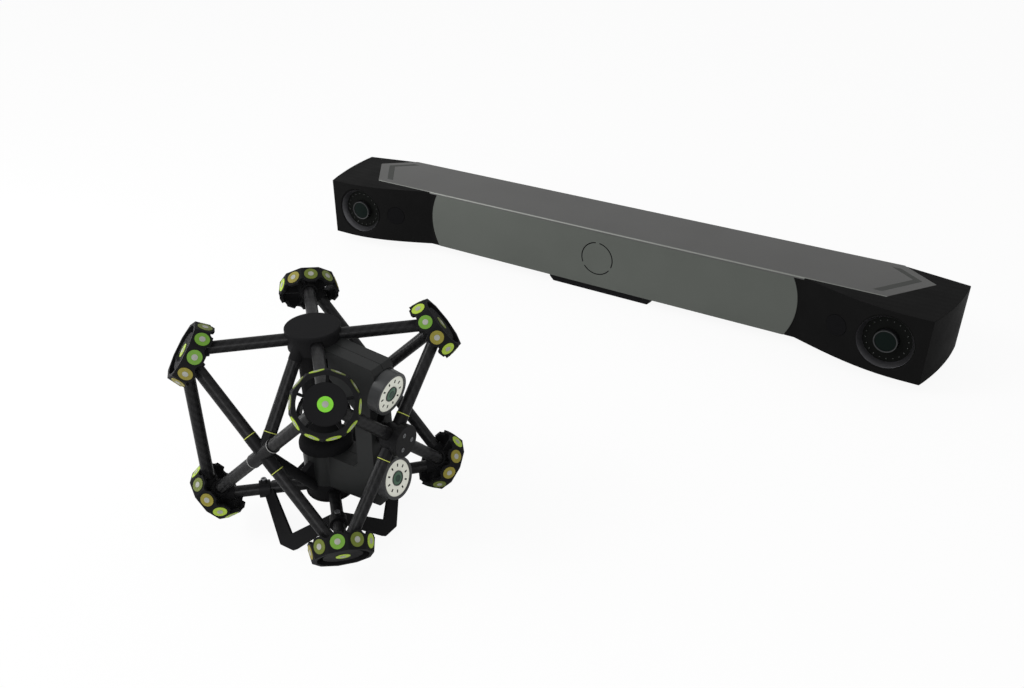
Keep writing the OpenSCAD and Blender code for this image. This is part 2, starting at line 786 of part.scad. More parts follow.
module front_panel() {
    color([0.36, 0.37, 0.35]) at_tracker() difference() {
        translate([0, panel_t, 0]) rotate([90, 0, 0]) linear_extrude(panel_t) intersection() {
            panel_shape(0);
            translate([-big * 2, -top_z]) square([big * 4, bar_h - top_plate_t]);
        }
        translate([0, status_t, 0]) rotate([90, 0, 0]) status_arcs(fit, big);
    }
}

module status_arcs(grow, tall) {
    for (i = [0:2]) rotate([0, 0, 90 + i * 120 + status_gap / 2]) rotate_extrude(angle = 120 - status_gap)
        translate([status_d / 2 - status_w - grow, 0]) square([status_w + 2 * grow, tall]);
}

module status_ring() {
    color([0.12, 0.13, 0.12]) at_tracker() translate([0, status_t, 0]) rotate([90, 0, 0])
        status_arcs(0, status_t);
}

chevron_t = 0.6;
chevron_w = 12;
chevron_in = 19;
chevron_low = 14;
chevron_high = 102;

bevel = 1.5;

module top_plate() {
    color([0.36, 0.36, 0.36]) at_tracker() translate([0, 0, top_z - top_plate_t]) difference() {
        linear_extrude(top_plate_t) top_shape(0);
        translate([0, 0, top_plate_t - chevron_t]) linear_extrude(big) chevrons(fit);
        // The bevel along the front edge
        translate([-2 * big, 0, top_plate_t - bevel]) rotate([45, 0, 0]) translate([0, -bevel, 0])
            cube([4 * big, 4 * bevel, 2 * bevel]);
    }
}

// Half the length of the top plate at a distance y behind its front edge
function plate_edge(y) = bar_half + (tip_x - bar_half)
    * (y < tip_y ? y / tip_y : (plate_back_y - y) / (plate_back_y - tip_y));

module chevrons(grow) {
    levels = [chevron_low - grow, tip_y, chevron_high + grow];
    for (side = [-1, 1]) polygon(concat(
        [for (y = levels) [side * (plate_edge(y) - chevron_in + grow), y]],
        [for (i = [2:-1:0]) [side * (plate_edge(levels[i]) - chevron_in - chevron_w - grow), levels[i]]]
    ));
}

module top_chevrons() {
    color([0.22, 0.22, 0.22]) at_tracker() translate([0, 0, top_z - chevron_t])
        linear_extrude(chevron_t) chevrons(0);
}

button_r = 6;
button_out = 1.5;
button_travel = 1.2;
button_from_end = 55;
ports_from_end = [90, 120];
round_port_from_end = 150;
button_x = button_from_end - bar_half;
port_xs = [for (run = ports_from_end) run - bar_half];
port_w = 16;
port_h = 13;
port_len = 9;
port_in = 0.5;
port_wall = 1.5;
round_port_x = round_port_from_end - bar_half;

module rear_cover() {
    color([0.1, 0.1, 0.1]) at_tracker() difference() {
        translate([cover_in - bar_half, bar_back - rear_t, -top_z])
            cube([2 * (bar_half - cover_in), rear_t, bar_h - top_plate_t]);
        translate([button_x, 0, 0]) rotate([-90, 0, 0]) cylinder(r = button_r + run_gap, h = big);
        translate([round_port_x, 0, 0]) rotate([-90, 0, 0]) cylinder(r = socket_d / 2 + fit, h = big);
        for (x = port_xs) translate([x - port_w / 2 - fit, 0, -port_h / 2 - fit])
            cube([port_w + 2 * fit, big, port_h + 2 * fit]);
    }
}

module power_button() {
    color([0.3, 0.3, 0.31]) at_tracker() translate([button_x, bar_back - rear_t - 2, 0]) rotate([-90, 0, 0])
        cylinder(r = button_r, h = rear_t + 2 + button_out);
}

module round_socket() {
    difference() {
        translate([0, 0, -socket_t]) cylinder(r = socket_d / 2, h = socket_t - 0.5);
        translate([0, 0, -socket_t + 1.5]) difference() {
            cylinder(r = socket_d / 2 - 2, h = big);
            cylinder(r = 1, h = socket_t - 3);
        }
    }
}

module connector_sockets() {
    color([0.35, 0.35, 0.36]) {
        at_tracker() {
            translate([round_port_x, bar_back, 0]) rotate([-90, 0, 0]) round_socket();
            for (x = port_xs) translate([x - port_w / 2, bar_back - port_in - port_len, -port_h / 2])
                difference() {
                    cube([port_w, port_len, port_h]);
                    translate([port_wall, 2, port_wall])
                        cube([port_w - 2 * port_wall, port_len, port_h - 2 * port_wall]);
                }
        }
        at_scanner() translate([axis_x - cup_r, 0, socket_z]) rotate([0, -90, 0]) round_socket();
    }
}

beam_h = 30;
beam_w = 28;
beam_y = 46;
beam_wall = 3;
post_w = 20;
post_x = 200;
beam_past_lens = 24;
lens_ring_in = 5;
glass_len = 8;
tracker_glass_r = lens_ring_r - lens_ring_t;

// The stiff beam in the bar, which carries both camera barrels
module camera_beam() {
    long = tracker_lens_x + beam_past_lens;
    color([0.5, 0.51, 0.53]) at_tracker() difference() {
        union() {
            translate([-long, beam_y, -beam_h / 2]) cube([2 * long, beam_w, beam_h]);
            for (side = [-1, 1]) {
                translate([side * post_x - post_w / 2, beam_y, shell_t - top_z])
                    cube([post_w, beam_w, top_z - shell_t]);
                intersection() {
                    at_tracker_camera(side) translate([0, 0, -big / 4])
                        cylinder(r = lens_ring_r, h = big / 4 - lens_ring_in);
                    translate([-big * 2, -big, -big]) cube([big * 4, big + beam_y + 1, big * 2]);
                }
            }
        }
        translate([-long - 1, beam_y + beam_wall, beam_wall - beam_h / 2])
            cube([2 * long + 2, beam_w - 2 * beam_wall, beam_h - 2 * beam_wall]);
        for (side = [-1, 1]) at_tracker_camera(side) translate([0, 0, -lens_ring_in - glass_len])
            cylinder(r = tracker_glass_r + fit, h = big);
    }
}

module tracker_lenses() {
    dome = 1.6 * tracker_lens_d;
    color([0.06, 0.1, 0.09]) at_tracker() for (side = [-1, 1]) at_tracker_camera(side)
        translate([0, 0, -lens_ring_in - 0.5]) intersection() {
            translate([0, 0, -glass_len + 0.5]) cylinder(r = tracker_glass_r, h = glass_len);
            translate([0, 0, -dome]) sphere(r = dome);
        }
}

bezel_t = 1.2;
bezel_low = 0.4;
bezel_high = 10;

module tracker_bezels() {
    low = board_r + cone_run * bezel_low / bezel_depth - fit;
    high = board_r + cone_run * bezel_high / bezel_depth - fit;
    color([0.17, 0.17, 0.17]) at_tracker() for (side = [-1, 1]) at_tracker_camera(side)
        translate([0, 0, bezel_low - bezel_depth]) difference() {
            cylinder(r1 = low, r2 = high, h = bezel_high - bezel_low);
            translate([0, 0, -0.01])
                cylinder(r1 = low - bezel_t, r2 = high - bezel_t, h = bezel_high - bezel_low + 0.02);
        }
}

module tracker_lamp_boards() {
    color([0.07, 0.07, 0.07]) at_tracker() for (side = [-1, 1]) at_tracker_camera(side)
        translate([0, 0, -bezel_depth - board_t]) {
            difference() {
                cylinder(r = board_r - fit, h = board_t);
                translate([0, 0, -1]) cylinder(r = board_hole_r, h = big);
            }
            for (i = [0:led_count - 1]) rotate([0, 0, (i + 0.5) * 360 / led_count])
                translate([led_circle, 0, board_t - led_seat])
                    cylinder(r = led_r, h = led_t + led_seat, $fn = 24);
        }
}

module round_windows() {
    color([0.05, 0.05, 0.055]) at_tracker() for (side = [-1, 1]) at_window(side)
        translate([0, 0, -round_window_t]) cylinder(r = window_d / 2, h = round_window_t);
}

mount_chamfer = 7;

module mount_plate() {
    low = -mount_t;
    color([0.08, 0.08, 0.08]) at_tracker() translate([0, thread_back, -top_z]) difference() {
        translate([0, mount_depth / 2, 0]) rotate([90, 0, 0]) linear_extrude(mount_depth) polygon([
            [-mount_w / 2, 0], [-mount_w / 2, low + mount_chamfer], [mount_chamfer - mount_w / 2, low],
            [mount_w / 2 - mount_chamfer, low], [mount_w / 2, low + mount_chamfer], [mount_w / 2, 0]
        ]);
        translate([0, 0, low - 1]) cylinder(r = thread_r, h = thread_len + 1);
    }
}

marker_head(corners[0]);  // head_rear_left_top
marker_head(corners[1]);  // head_rear_right_top
marker_head(corners[2]);  // head_front_left_top
marker_head(corners[3]);  // head_front_right_top
marker_head(corners[4]);  // head_rear_left_bottom
marker_head(corners[5]);  // head_rear_right_bottom
marker_head(corners[6]);  // head_front_left_bottom
marker_head(corners[7]);  // head_front_right_bottom
target_rings();
target_dots();
top_tubes();
bottom_tubes();
front_tubes();
cross_tubes();
rear_tubes();
side_struts();
side_arms();
cross_joints();
tube_bands();
top_hub();
top_hub_cap();
bottom_hub();
base_disc();
front_hub();
front_hub_cap();
hub_screws();
housing_shell(-1);  // housing_right_shell
housing_shell(1);  // housing_left_shell
grip_shell(-1);  // grip_right_shell
grip_shell(1);  // grip_left_shell
grip_tube();
hand_collar();
scan_trigger();
thumb_key(0);  // upper_key
thumb_key(1);  // lower_key
camera_barrels();
lamp_rings();
camera_lenses();
laser_windows();
foot(clip_at, clip_x, 0);  // foot_right
foot(clip_at, clip_x, 180);  // foot_left
foot(clip_x, clip_at, 90);  // foot_front
foot(clip_x, clip_at, -90);  // foot_rear
foot_clips();
tracker_body();
tracker_end(1);  // tracker_right_end
tracker_end(-1);  // tracker_left_end
front_panel();
top_plate();
top_chevrons();
rear_cover();
camera_beam();
tracker_bezels();
tracker_lamp_boards();
tracker_lenses();
round_windows();
status_ring();
mount_plate();
power_button();
connector_sockets();
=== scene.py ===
# %% [markdown]
# # Optical scanner set
# A hand-held stereo scanner in a cage of marker heads stands in front of the long tracker bar
# that watches it. The exact solids come from CAD and stay where they are. This script gives
# them soft edges, real materials, small hardware, a camera and a plain studio.

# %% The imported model
import json
import math

import bpy
from mathutils import Matrix, Vector


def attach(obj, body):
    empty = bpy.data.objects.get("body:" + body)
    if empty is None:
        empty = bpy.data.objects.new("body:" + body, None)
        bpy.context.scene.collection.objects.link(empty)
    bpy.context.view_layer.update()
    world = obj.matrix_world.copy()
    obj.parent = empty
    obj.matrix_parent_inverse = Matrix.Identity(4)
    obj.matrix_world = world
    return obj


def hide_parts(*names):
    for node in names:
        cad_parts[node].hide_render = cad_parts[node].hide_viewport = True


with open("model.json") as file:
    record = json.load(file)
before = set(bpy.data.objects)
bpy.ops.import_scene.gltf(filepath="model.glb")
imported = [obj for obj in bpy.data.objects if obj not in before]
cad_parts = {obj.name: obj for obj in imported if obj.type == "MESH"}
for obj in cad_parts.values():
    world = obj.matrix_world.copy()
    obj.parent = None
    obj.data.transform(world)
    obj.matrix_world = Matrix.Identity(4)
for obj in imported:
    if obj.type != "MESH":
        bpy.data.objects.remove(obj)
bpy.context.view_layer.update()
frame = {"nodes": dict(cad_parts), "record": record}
nodes = frame["nodes"]
MM = 0.001

# %% [markdown]
# ## Camera
# The photo was taken from above and to the right, with both units in view. The camera's place
# and turn came from matching corners of the bar and of the cage, so it needs no shift and no
# depth of field. The lens goes with a sensor 36 mm wide.

# %% Camera
SENSOR_WIDTH, FOCAL_LENGTH = 36, 33.05
CAMERA_AT = Vector((598.5, -1290.3, 685.3)) * MM
CAMERA_TURN = (math.radians(60.3), 0, math.radians(31.6))

camera_data = bpy.data.cameras.new("photo_camera")
camera_data.sensor_width = SENSOR_WIDTH
camera_data.lens = FOCAL_LENGTH
camera = bpy.data.objects.new("photo_camera", camera_data)
camera.location = CAMERA_AT
camera.rotation_euler = CAMERA_TURN
bpy.context.scene.collection.objects.link(camera)
bpy.context.scene.camera = camera
print("camera", round(CAMERA_AT.length, 2), "m from the origin, lens", FOCAL_LENGTH, "mm")

# %% [markdown]
# ## Helpers for materials
# A colour is picked on screen as an sRGB hex value, but the renderer works in linear light, so
# one function turns every hex value to linear, along the curve of the sRGB standard. A second
# adds a node and wires it up, and a third starts a material from Blender's surface shader.

# %% Colours and nodes
# A Mix node has sockets for each kind of data: numbers go in at 2 and 3 and come out at 0,
# and colours go in at 6 and 7 and come out at 2
FIRST, SECOND = 2, 3
DARK, PALE, MIXED = 6, 7, 2


def linear(hex_code):
    channels = [int(hex_code[i : i + 2], 16) / 255 for i in (1, 3, 5)]
    return (*[c / 12.92 if c <= 0.04045 else ((c + 0.055) / 1.055) ** 2.4 for c in channels], 1)


def add_node(tree, kind, inputs=None, **settings):
    made = tree.nodes.new(kind)
    for key, value in settings.items():
        setattr(made, key, value)
    for key, value in (inputs or {}).items():
        if isinstance(value, bpy.types.NodeSocket):
            tree.links.new(value, made.inputs[key])
        else:
            made.inputs[key].default_value = value
    return made


def start_material(name, **shader):
    material = bpy.data.materials.new(name)
    material.use_nodes = True
    tree = material.node_tree
    surface = tree.nodes["Principled BSDF"]
    for key, value in shader.items():
        surface.inputs[key.replace("_", " ")].default_value = value
    return material, tree, surface


print("middle grey is", round(linear("#808080")[0], 3), "in linear light")

# %% [markdown]
# ## Moulded plastics
# The heads, hubs and housings are injection moulded. The mould is spark eroded, which leaves a
# fine even grain that breaks up reflections, and handling polishes it in soft patches. To model
# the grain would take millions of faces, so a fine noise drives a bump, and a wide one lets
# colour and roughness drift. Real grain is about 0.1 mm; it is drawn at 0.5 mm and more, so
# that it shows.

# %% Moulded plastic
GRAIN_DEPTH = 0.1 * MM
HANDLING_SCALE = 28  # to the metre, which gives patches about 36 mm across


def moulded(name, dark, pale, grain_mm=0.6, rough=(0.42, 0.56), relief=0.12, shine=0.015):
    """Plastic with a spark-eroded grain, and with its roughness where handled and where not."""
    material, tree, surface = start_material(name, Specular_IOR_Level=shine)
    place = add_node(tree, "ShaderNodeTexCoord").outputs["Object"]
    grain = add_node(
        tree, "ShaderNodeTexNoise", {"Vector": place, "Scale": 1 / (grain_mm * MM), "Detail": 2}
    )
    handling = add_node(
        tree, "ShaderNodeTexNoise", {"Vector": place, "Scale": HANDLING_SCALE, "Detail": 4}
    )
    colour = add_node(
        tree, "ShaderNodeMix",
        {"Factor": handling.outputs["Fac"], DARK: linear(dark), PALE: linear(pale)},
        data_type="RGBA",
    )
    gloss = add_node(
        tree, "ShaderNodeMapRange",
        {"Value": handling.outputs["Fac"], "From Min": 0.3, "From Max": 0.7,
         "To Min": rough[0], "To Max": rough[1]},
    )
    bump = add_node(
        tree, "ShaderNodeBump",
        {"Height": grain.outputs["Fac"], "Strength": relief, "Distance": GRAIN_DEPTH},
    )
    tree.links.new(colour.outputs[MIXED], surface.inputs["Base Color"])
    tree.links.new(gloss.outputs["Result"], surface.inputs["Roughness"])
    tree.links.new(bump.outputs["Normal"], surface.inputs["Normal"])
    return material


print("worn patches are about", round(1000 / HANDLING_SCALE), "mm across")

# %% [markdown]
# ## Plastics of the set
# Glass fibre keeps the nylon of the cage dull and nearly black. The housing's ABS has a soft
# sheen and is a little paler, the grip's rubber skin swallows light, and the turned acetal of
# the camera barrels is smooth enough to shine along its edges. The keys are a shade paler than
# the grip, so that they can be found, and the sockets are paler still. The printed chevrons are
# a flat grey without sheen, and the boards' resist is the deepest black, like a hole.

# %% Plastics
glass_filled_nylon = moulded("glass_filled_nylon_black", "#161617", "#1f1f20")
housing_abs = moulded(
    "spark_eroded_abs_graphite", "#1e1f1f", "#272828", grain_mm=0.8, rough=(0.3, 0.4), shine=0.1
)
grip_elastomer = moulded(
    "overmoulded_elastomer_black", "#121213", "#1a1a1b",
    grain_mm=1.1, rough=(0.6, 0.72), relief=0.25,
)
key_abs = moulded("moulded_abs_dark_grey", "#242526", "#2d2e2f", rough=(0.38, 0.48))
barrel_nylon = moulded(
    "turned_acetal_black", "#2a2b2c", "#353637",
    grain_mm=0.5, rough=(0.28, 0.38), relief=0.06, shine=0.3,
)
socket_nylon = moulded("socket_nylon_grey", "#2a2b2c", "#343536")
chevron_ink = moulded("pad_printed_ink_dark_grey", "#454645", "#4d4e4c", rough=(0.5, 0.6))
board_resin = moulded("solder_resist_black", "#0c0d0c", "#121312", rough=(0.35, 0.45))
print(len(bpy.data.materials), "materials so far")

# %% [markdown]
# ## Anodised, coated and bare metal
# The crossing joints, feet and mount plate are aluminium, and so are the bar's top plate and
# front panel. They differ only in colour, sheen and the size of their dimples, so one function
# makes them all. Pits and flakes under 0.1 mm are drawn at 0.4 to 0.6 mm, so that they show.

# %% Coated metals
TONE_SCALE = 9  # to the metre, so that the tone drifts over about 110 mm


def coated_metal(name, dark, pale, metal, rough, dimple_mm, relief, shine=0.3):
    material, tree, surface = start_material(
        name, Metallic=metal, Roughness=rough, Specular_IOR_Level=shine
    )
    place = add_node(tree, "ShaderNodeTexCoord").outputs["Object"]
    dimples = add_node(
        tree, "ShaderNodeTexNoise", {"Vector": place, "Scale": 1 / (dimple_mm * MM), "Detail": 3}
    )
    drift = add_node(
        tree, "ShaderNodeTexNoise", {"Vector": place, "Scale": TONE_SCALE, "Detail": 2}
    )
    colour = add_node(
        tree, "ShaderNodeMix",
        {"Factor": drift.outputs["Fac"], DARK: linear(dark), PALE: linear(pale)},
        data_type="RGBA",
    )
    bump = add_node(
        tree, "ShaderNodeBump",
        {"Height": dimples.outputs["Fac"], "Strength": relief, "Distance": GRAIN_DEPTH},
    )
    tree.links.new(colour.outputs[MIXED], surface.inputs["Base Color"])
    tree.links.new(bump.outputs["Normal"], surface.inputs["Normal"])
    return material


print("the tone of a coat drifts over about", round(1000 / TONE_SCALE), "mm")

# %% [markdown]
# ## Coats and metals of the set
# Black anodising keeps a little of the metal's sheen, which tells the joints from the plastic.
# Powder coat has the gentle orange peel of melted powder, with a dimple every two millimetres
# or so. Lacquer with metal flakes is partly metallic, which makes the bar look cool and grey.
# The bare metals are fully metallic or nearly so: steel screws glint as small points, and the
# turned cones of the bar's recesses catch a crescent of light.

# %% Coats and metals
black_anodised = coated_metal(
    "black_anodised_aluminium", "#151516", "#1d1d1e",
    metal=0.2, rough=0.4, dimple_mm=0.4, relief=0.08, shine=0.05,
)
powder_coat = coated_metal(
    "black_powder_coat", "#111112", "#171718",
    metal=0, rough=0.5, dimple_mm=2.2, relief=0.35, shine=0.05,
)
panel_paint = coated_metal(
    "metallic_grey_lacquer", "#4f524e", "#585b57",
    metal=0.2, rough=0.4, dimple_mm=0.5, relief=0.06, shine=0.08,
)
plate_paint = coated_metal(
    "metallic_dark_lacquer", "#4f4f4e", "#585857",
    metal=0.2, rough=0.42, dimple_mm=0.5, relief=0.06, shine=0.05,
)
machined_aluminium = coated_metal(
    "machined_aluminium", "#a9abad", "#b6b8ba",
    metal=1, rough=0.35, dimple_mm=0.6, relief=0.05,
)
screw_steel = coated_metal(
    "satin_steel", "#6d6e70", "#7a7b7d", metal=1, rough=0.38, dimple_mm=0.5, relief=0.05
)
cone_metal = coated_metal(
    "black_turned_aluminium", "#47474a", "#545456",
    metal=0.9, rough=0.36, dimple_mm=0.5, relief=0.08,
)
print(len(bpy.data.materials), "materials so far")

# %% [markdown]
# ## Bead films
# Each target is a film of tiny glass beads: a fluorescent yellow-green ring round a light dot.
# The beads send light back, which makes the ring look lit; that returned light is painted on as
# a little glow, though the film is no lamp. Real beads are about 0.05 mm; they are drawn at
# 0.5 mm, so that they show. The sleeve prints and the milky diffuser of the lamp rings are made
# the same way, with less painted glow.

# %% Bead films
BEAD_RELIEF = 0.2
WEAR_SCALE = 180  # to the metre, which gives worn spots of 5 or 6 mm


def bead_film(name, dark, pale, painted_glow, bead_mm=0.5):
    material, tree, surface = start_material(name, Roughness=0.5, Specular_IOR_Level=0.2)
    place = add_node(tree, "ShaderNodeTexCoord").outputs["Object"]
    beads = add_node(
        tree, "ShaderNodeTexVoronoi", {"Vector": place, "Scale": 1 / (bead_mm * MM)}
    )
    wear = add_node(
        tree, "ShaderNodeTexNoise", {"Vector": place, "Scale": WEAR_SCALE, "Detail": 2}
    )
    colour = add_node(
        tree, "ShaderNodeMix",
        {"Factor": wear.outputs["Fac"], DARK: linear(dark), PALE: linear(pale)},
        data_type="RGBA",
    )
    bump = add_node(
        tree, "ShaderNodeBump",
        {"Height": beads.outputs["Distance"], "Strength": BEAD_RELIEF, "Distance": GRAIN_DEPTH},
    )
    tree.links.new(colour.outputs[MIXED], surface.inputs["Base Color"])
    # Painted glow: emission in the film's own colour stands in for the light that the beads send
    # back
    tree.links.new(colour.outputs[MIXED], surface.inputs["Emission Color"])
    surface.inputs["Emission Strength"].default_value = painted_glow
    tree.links.new(bump.outputs["Normal"], surface.inputs["Normal"])
    return material


# One film in five painted tones, olive, gold, leaf green, lime and bright green: its light at
# different angles, painted as colour
painted_film_tones = [
    bead_film("fluorescent_film_painted_olive", "#525c20", "#636e2b", painted_glow=0.05),
    bead_film("fluorescent_film_painted_gold", "#756a2a", "#868033", painted_glow=0.06),
    bead_film("fluorescent_film_painted_leaf", "#56802a", "#679132", painted_glow=0.06),
    bead_film("fluorescent_film_painted_lime", "#8da432", "#9db63e", painted_glow=0.08),
    bead_film("fluorescent_film_painted_bright", "#68b228", "#78c138", painted_glow=0.12),
]
# The dot, the sleeve prints and the diffuser get a weaker painted glow
target_grey = bead_film("plain_bead_film", "#84857e", "#a2a39c", painted_glow=0.04)
band_print = bead_film("pale_green_sleeve_print", "#a9b14f", "#b6be5c", painted_glow=0.05)
band_grey = bead_film("grey_sleeve_print", "#8c8c8a", "#9a9a98", painted_glow=0.03)
diffuser = bead_film("opal_polycarbonate", "#d3d4c8", "#dcddd2", painted_glow=0.1, bead_mm=0.9)
print(len(painted_film_tones), "tones of target film")

# %% [markdown]
# ## Coated glass
# The lenses have an anti-reflection coat that looks dark green, and the filter windows of the
# bar are black to the eye. Both could be made as clear glass over a dark hole, which is slow
# and noisy. They are opaque and smooth instead, with a painted sheen: the tint is painted paler
# where the surface turns away from the eye, in place of the reflection that glass shows there.

# %% Coated glass
PAINTED_SHEEN_BLEND = 0.35


def coated_glass(name, tint, rim, shine=0.12):
    material, tree, surface = start_material(name, Roughness=0.08, Specular_IOR_Level=shine)
    # Painted sheen: Layer Weight mixes in the paler colour where the surface turns away from the
    # eye
    edge = add_node(tree, "ShaderNodeLayerWeight", {"Blend": PAINTED_SHEEN_BLEND})
    colour = add_node(
        tree, "ShaderNodeMix",
        {"Factor": edge.outputs["Facing"], DARK: linear(tint), PALE: linear(rim)},
        data_type="RGBA",
    )
    tree.links.new(colour.outputs[MIXED], surface.inputs["Base Color"])
    return material


# The second colour of each glass is its painted sheen
camera_glass = coated_glass("green_coated_lens_glass", "#45614f", "#5a7565")
pupil_glass = coated_glass("inner_lens_glass", "#2c3f36", "#3a4f45")
tracker_glass = coated_glass("dark_coated_lens_glass", "#08100e", "#0f1916", shine=0.05)
filter_glass = coated_glass("black_filter_window", "#0f0f10", "#131314", shine=0.02)
print(len(bpy.data.materials), "materials so far")

# %% [markdown]
# ## Carbon tubes
# The cage's tubes are wound from carbon cloth under clear lacquer. The cloth is a 2/2 twill:
# each bundle of threads goes over two and under two, and each row is shifted by one, which
# gives the diagonal look. The pattern follows the tube, so it reads the tube's own UV map,
# which is in metres. Bundles are 2 mm wide, drawn at 2.4 mm so that they show.

# %% Which bundle lies on top
BUNDLE = 2.4 * MM
TWILL_REPEAT = 4
LAST_UNDER = 1.5  # rows 0 and 1 of the repeat go under, 2 and 3 over

carbon_twill, tree, surface = start_material(
    "lacquered_carbon_twill",
    Roughness=0.42, Specular_IOR_Level=0.08, Coat_Weight=0.1, Coat_Roughness=0.2,
)
flat_place = add_node(tree, "ShaderNodeUVMap", uv_map="UVMap").outputs["UV"]
counted = add_node(
    tree, "ShaderNodeVectorMath", {0: flat_place, 1: (1 / BUNDLE, 1 / BUNDLE, 0)},
    operation="MULTIPLY",
)
cell = add_node(tree, "ShaderNodeVectorMath", {0: counted.outputs[0]}, operation="FLOOR")
inside = add_node(tree, "ShaderNodeVectorMath", {0: counted.outputs[0]}, operation="FRACTION")
cells = add_node(tree, "ShaderNodeSeparateXYZ", {0: cell.outputs[0]})
part = add_node(tree, "ShaderNodeSeparateXYZ", {0: inside.outputs[0]})
summed = add_node(
    tree, "ShaderNodeMath", {0: cells.outputs[0], 1: cells.outputs[1]}, operation="ADD"
)
row = add_node(
    tree, "ShaderNodeMath", {0: summed.outputs[0], 1: TWILL_REPEAT}, operation="FLOORED_MODULO"
)
over = add_node(
    tree, "ShaderNodeMath", {0: row.outputs[0], 1: LAST_UNDER}, operation="GREATER_THAN"
)
print("bundles of", round(BUNDLE / MM, 1), "mm, over two and under two")

# %% [markdown]
# ## Relief of the cloth
# A bundle is round on top, like half a wave across its width, and the bundles that run the
# other way catch the light differently. That difference in light is painted: the bundle on top
# also chooses which of two painted tones and which direction of the half wave a point gets.

# %% Relief of the cloth
WEAVE_DEPTH = 0.15 * MM
across = add_node(
    tree, "ShaderNodeMix",
    {"Factor": over.outputs[0], FIRST: part.outputs[0], SECOND: part.outputs[1]},
    data_type="FLOAT",
)
crown = add_node(tree, "ShaderNodeMath", {0: across.outputs[0], 1: math.pi}, operation="MULTIPLY")
height = add_node(tree, "ShaderNodeMath", {0: crown.outputs[0]}, operation="SINE")
# Painted sheen: the bundles on top get the paler tone, in place of the light they catch
painted_weave_sheen = add_node(
    tree, "ShaderNodeMix",
    {"Factor": over.outputs[0], DARK: linear("#111112"), PALE: linear("#1a1a1b")},
    data_type="RGBA",
)
weave_bump = add_node(
    tree, "ShaderNodeBump",
    {"Height": height.outputs[0], "Strength": 0.35, "Distance": WEAVE_DEPTH},
)
tree.links.new(painted_weave_sheen.outputs[MIXED], surface.inputs["Base Color"])
tree.links.new(weave_bump.outputs["Normal"], surface.inputs["Normal"])
print(len(tree.nodes), "nodes in", carbon_twill.name)


# %% [markdown]
# ## Helpers for pieces
# Each piece ends with its object at the origin and its place in its mesh, rides on a body and
# hides the CAD nodes that it stands for. What repeats is modelled once as a pattern and copied
# to its places, and the copies become one piece.

# %% Selecting and finishing
SMOOTH_ANGLE = math.radians(32)


def select_only(*objects):
    bpy.ops.object.select_all(action="DESELECT")
    for o in objects:
        o.select_set(True)
    bpy.context.view_layer.objects.active = objects[0]


def placed(add_primitive, **settings):
    """A new primitive with nothing else selected, and with its place in its mesh."""
    bpy.ops.object.select_all(action="DESELECT")
    add_primitive(**settings)
    bpy.ops.object.transform_apply(location=True, rotation=True, scale=True)
    return bpy.context.object


def add_modifier(piece, kind, **settings):
    modifier = piece.modifiers.new(kind.lower(), kind)
    for key, value in settings.items():
        setattr(modifier, key, value)
    select_only(piece)
    bpy.ops.object.modifier_apply(modifier=modifier.name)


def finished(piece, name, material, body="set", stands_for=()):
    piece.name = piece.data.name = name
    select_only(piece)
    bpy.ops.object.transform_apply(location=True, rotation=True, scale=True)
    bpy.ops.object.shade_smooth_by_angle(angle=SMOOTH_ANGLE)
    add_modifier(piece, "WEIGHTED_NORMAL", keep_sharp=True)
    piece.data.materials.clear()
    piece.data.materials.append(material)
    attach(piece, body)
    if stands_for:
        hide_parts(*stands_for)
    return piece


def repeated(pattern, places, name, material, stands_for=()):
    """One finished piece from copies of a pattern, each with its own mesh. The pattern goes."""
    made = []
    for place in places:
        copy = bpy.data.objects.new(name, pattern.data.copy())
        bpy.context.scene.collection.objects.link(copy)
        copy.matrix_world = place
        made.append(copy)
    bpy.data.objects.remove(pattern)
    select_only(*made)
    bpy.ops.object.join()
    piece = bpy.context.view_layer.objects.active
    print(name, len(made), "copies")
    return finished(piece, name, material, stands_for=stands_for)


print("shading turns sharp from", round(math.degrees(SMOOTH_ANGLE)), "degrees")

# %% [markdown]
# ## Soft edges
# No moulded or machined edge is perfectly sharp, and it is the thin light along edges that
# makes black parts readable. In a copy of a CAD node, double points are merged and flat faces
# dissolved into single ones, and a bevel rounds every edge that turns more than 30 degrees.
# Where several sharp edges meet, a bevel can throw a corner out, so it goes back in.

# %% Soft-edged copies
MERGE_WITHIN = 0.004 * MM
FLAT_WITHIN = math.radians(0.5)
SHARP_FROM = math.radians(30)


def softened(node, width_mm, material, body="set", segments=2):
    piece = bpy.data.objects.new(node, nodes[node].data.copy())
    bpy.context.scene.collection.objects.link(piece)
    select_only(piece)
    bpy.ops.mesh.customdata_custom_splitnormals_clear()
    bpy.ops.object.mode_set(mode="EDIT")
    bpy.ops.mesh.select_all(action="SELECT")
    bpy.ops.mesh.remove_doubles(threshold=MERGE_WITHIN)
    bpy.ops.mesh.dissolve_limited(angle_limit=FLAT_WITHIN)
    bpy.ops.object.mode_set(mode="OBJECT")
    add_modifier(
        piece, "BEVEL", width=width_mm * MM, segments=segments, limit_method="ANGLE",
        angle_limit=SHARP_FROM, use_clamp_overlap=False, miter_outer="MITER_SHARP",
    )
    for vertex in piece.data.vertices:
        seat = nodes[node].closest_point_on_mesh(vertex.co)[1]
        if (vertex.co - seat).length > width_mm * MM:
            vertex.co = seat
    return finished(piece, node + "_soft", material, body, [node])


print("edges are rounded from", round(math.degrees(SHARP_FROM)), "degrees")

# %% [markdown]
# ## Places in the cage
# The heads stand at the corners of a box round the middle of the cage, and the tubes run from
# them to the hubs in the middle of its top, bottom and front and to the crossings at its sides.
# A place is a matrix whose Z axis points along a tube or out of a head, so that what is
# modelled upright at the origin lands there in one step.

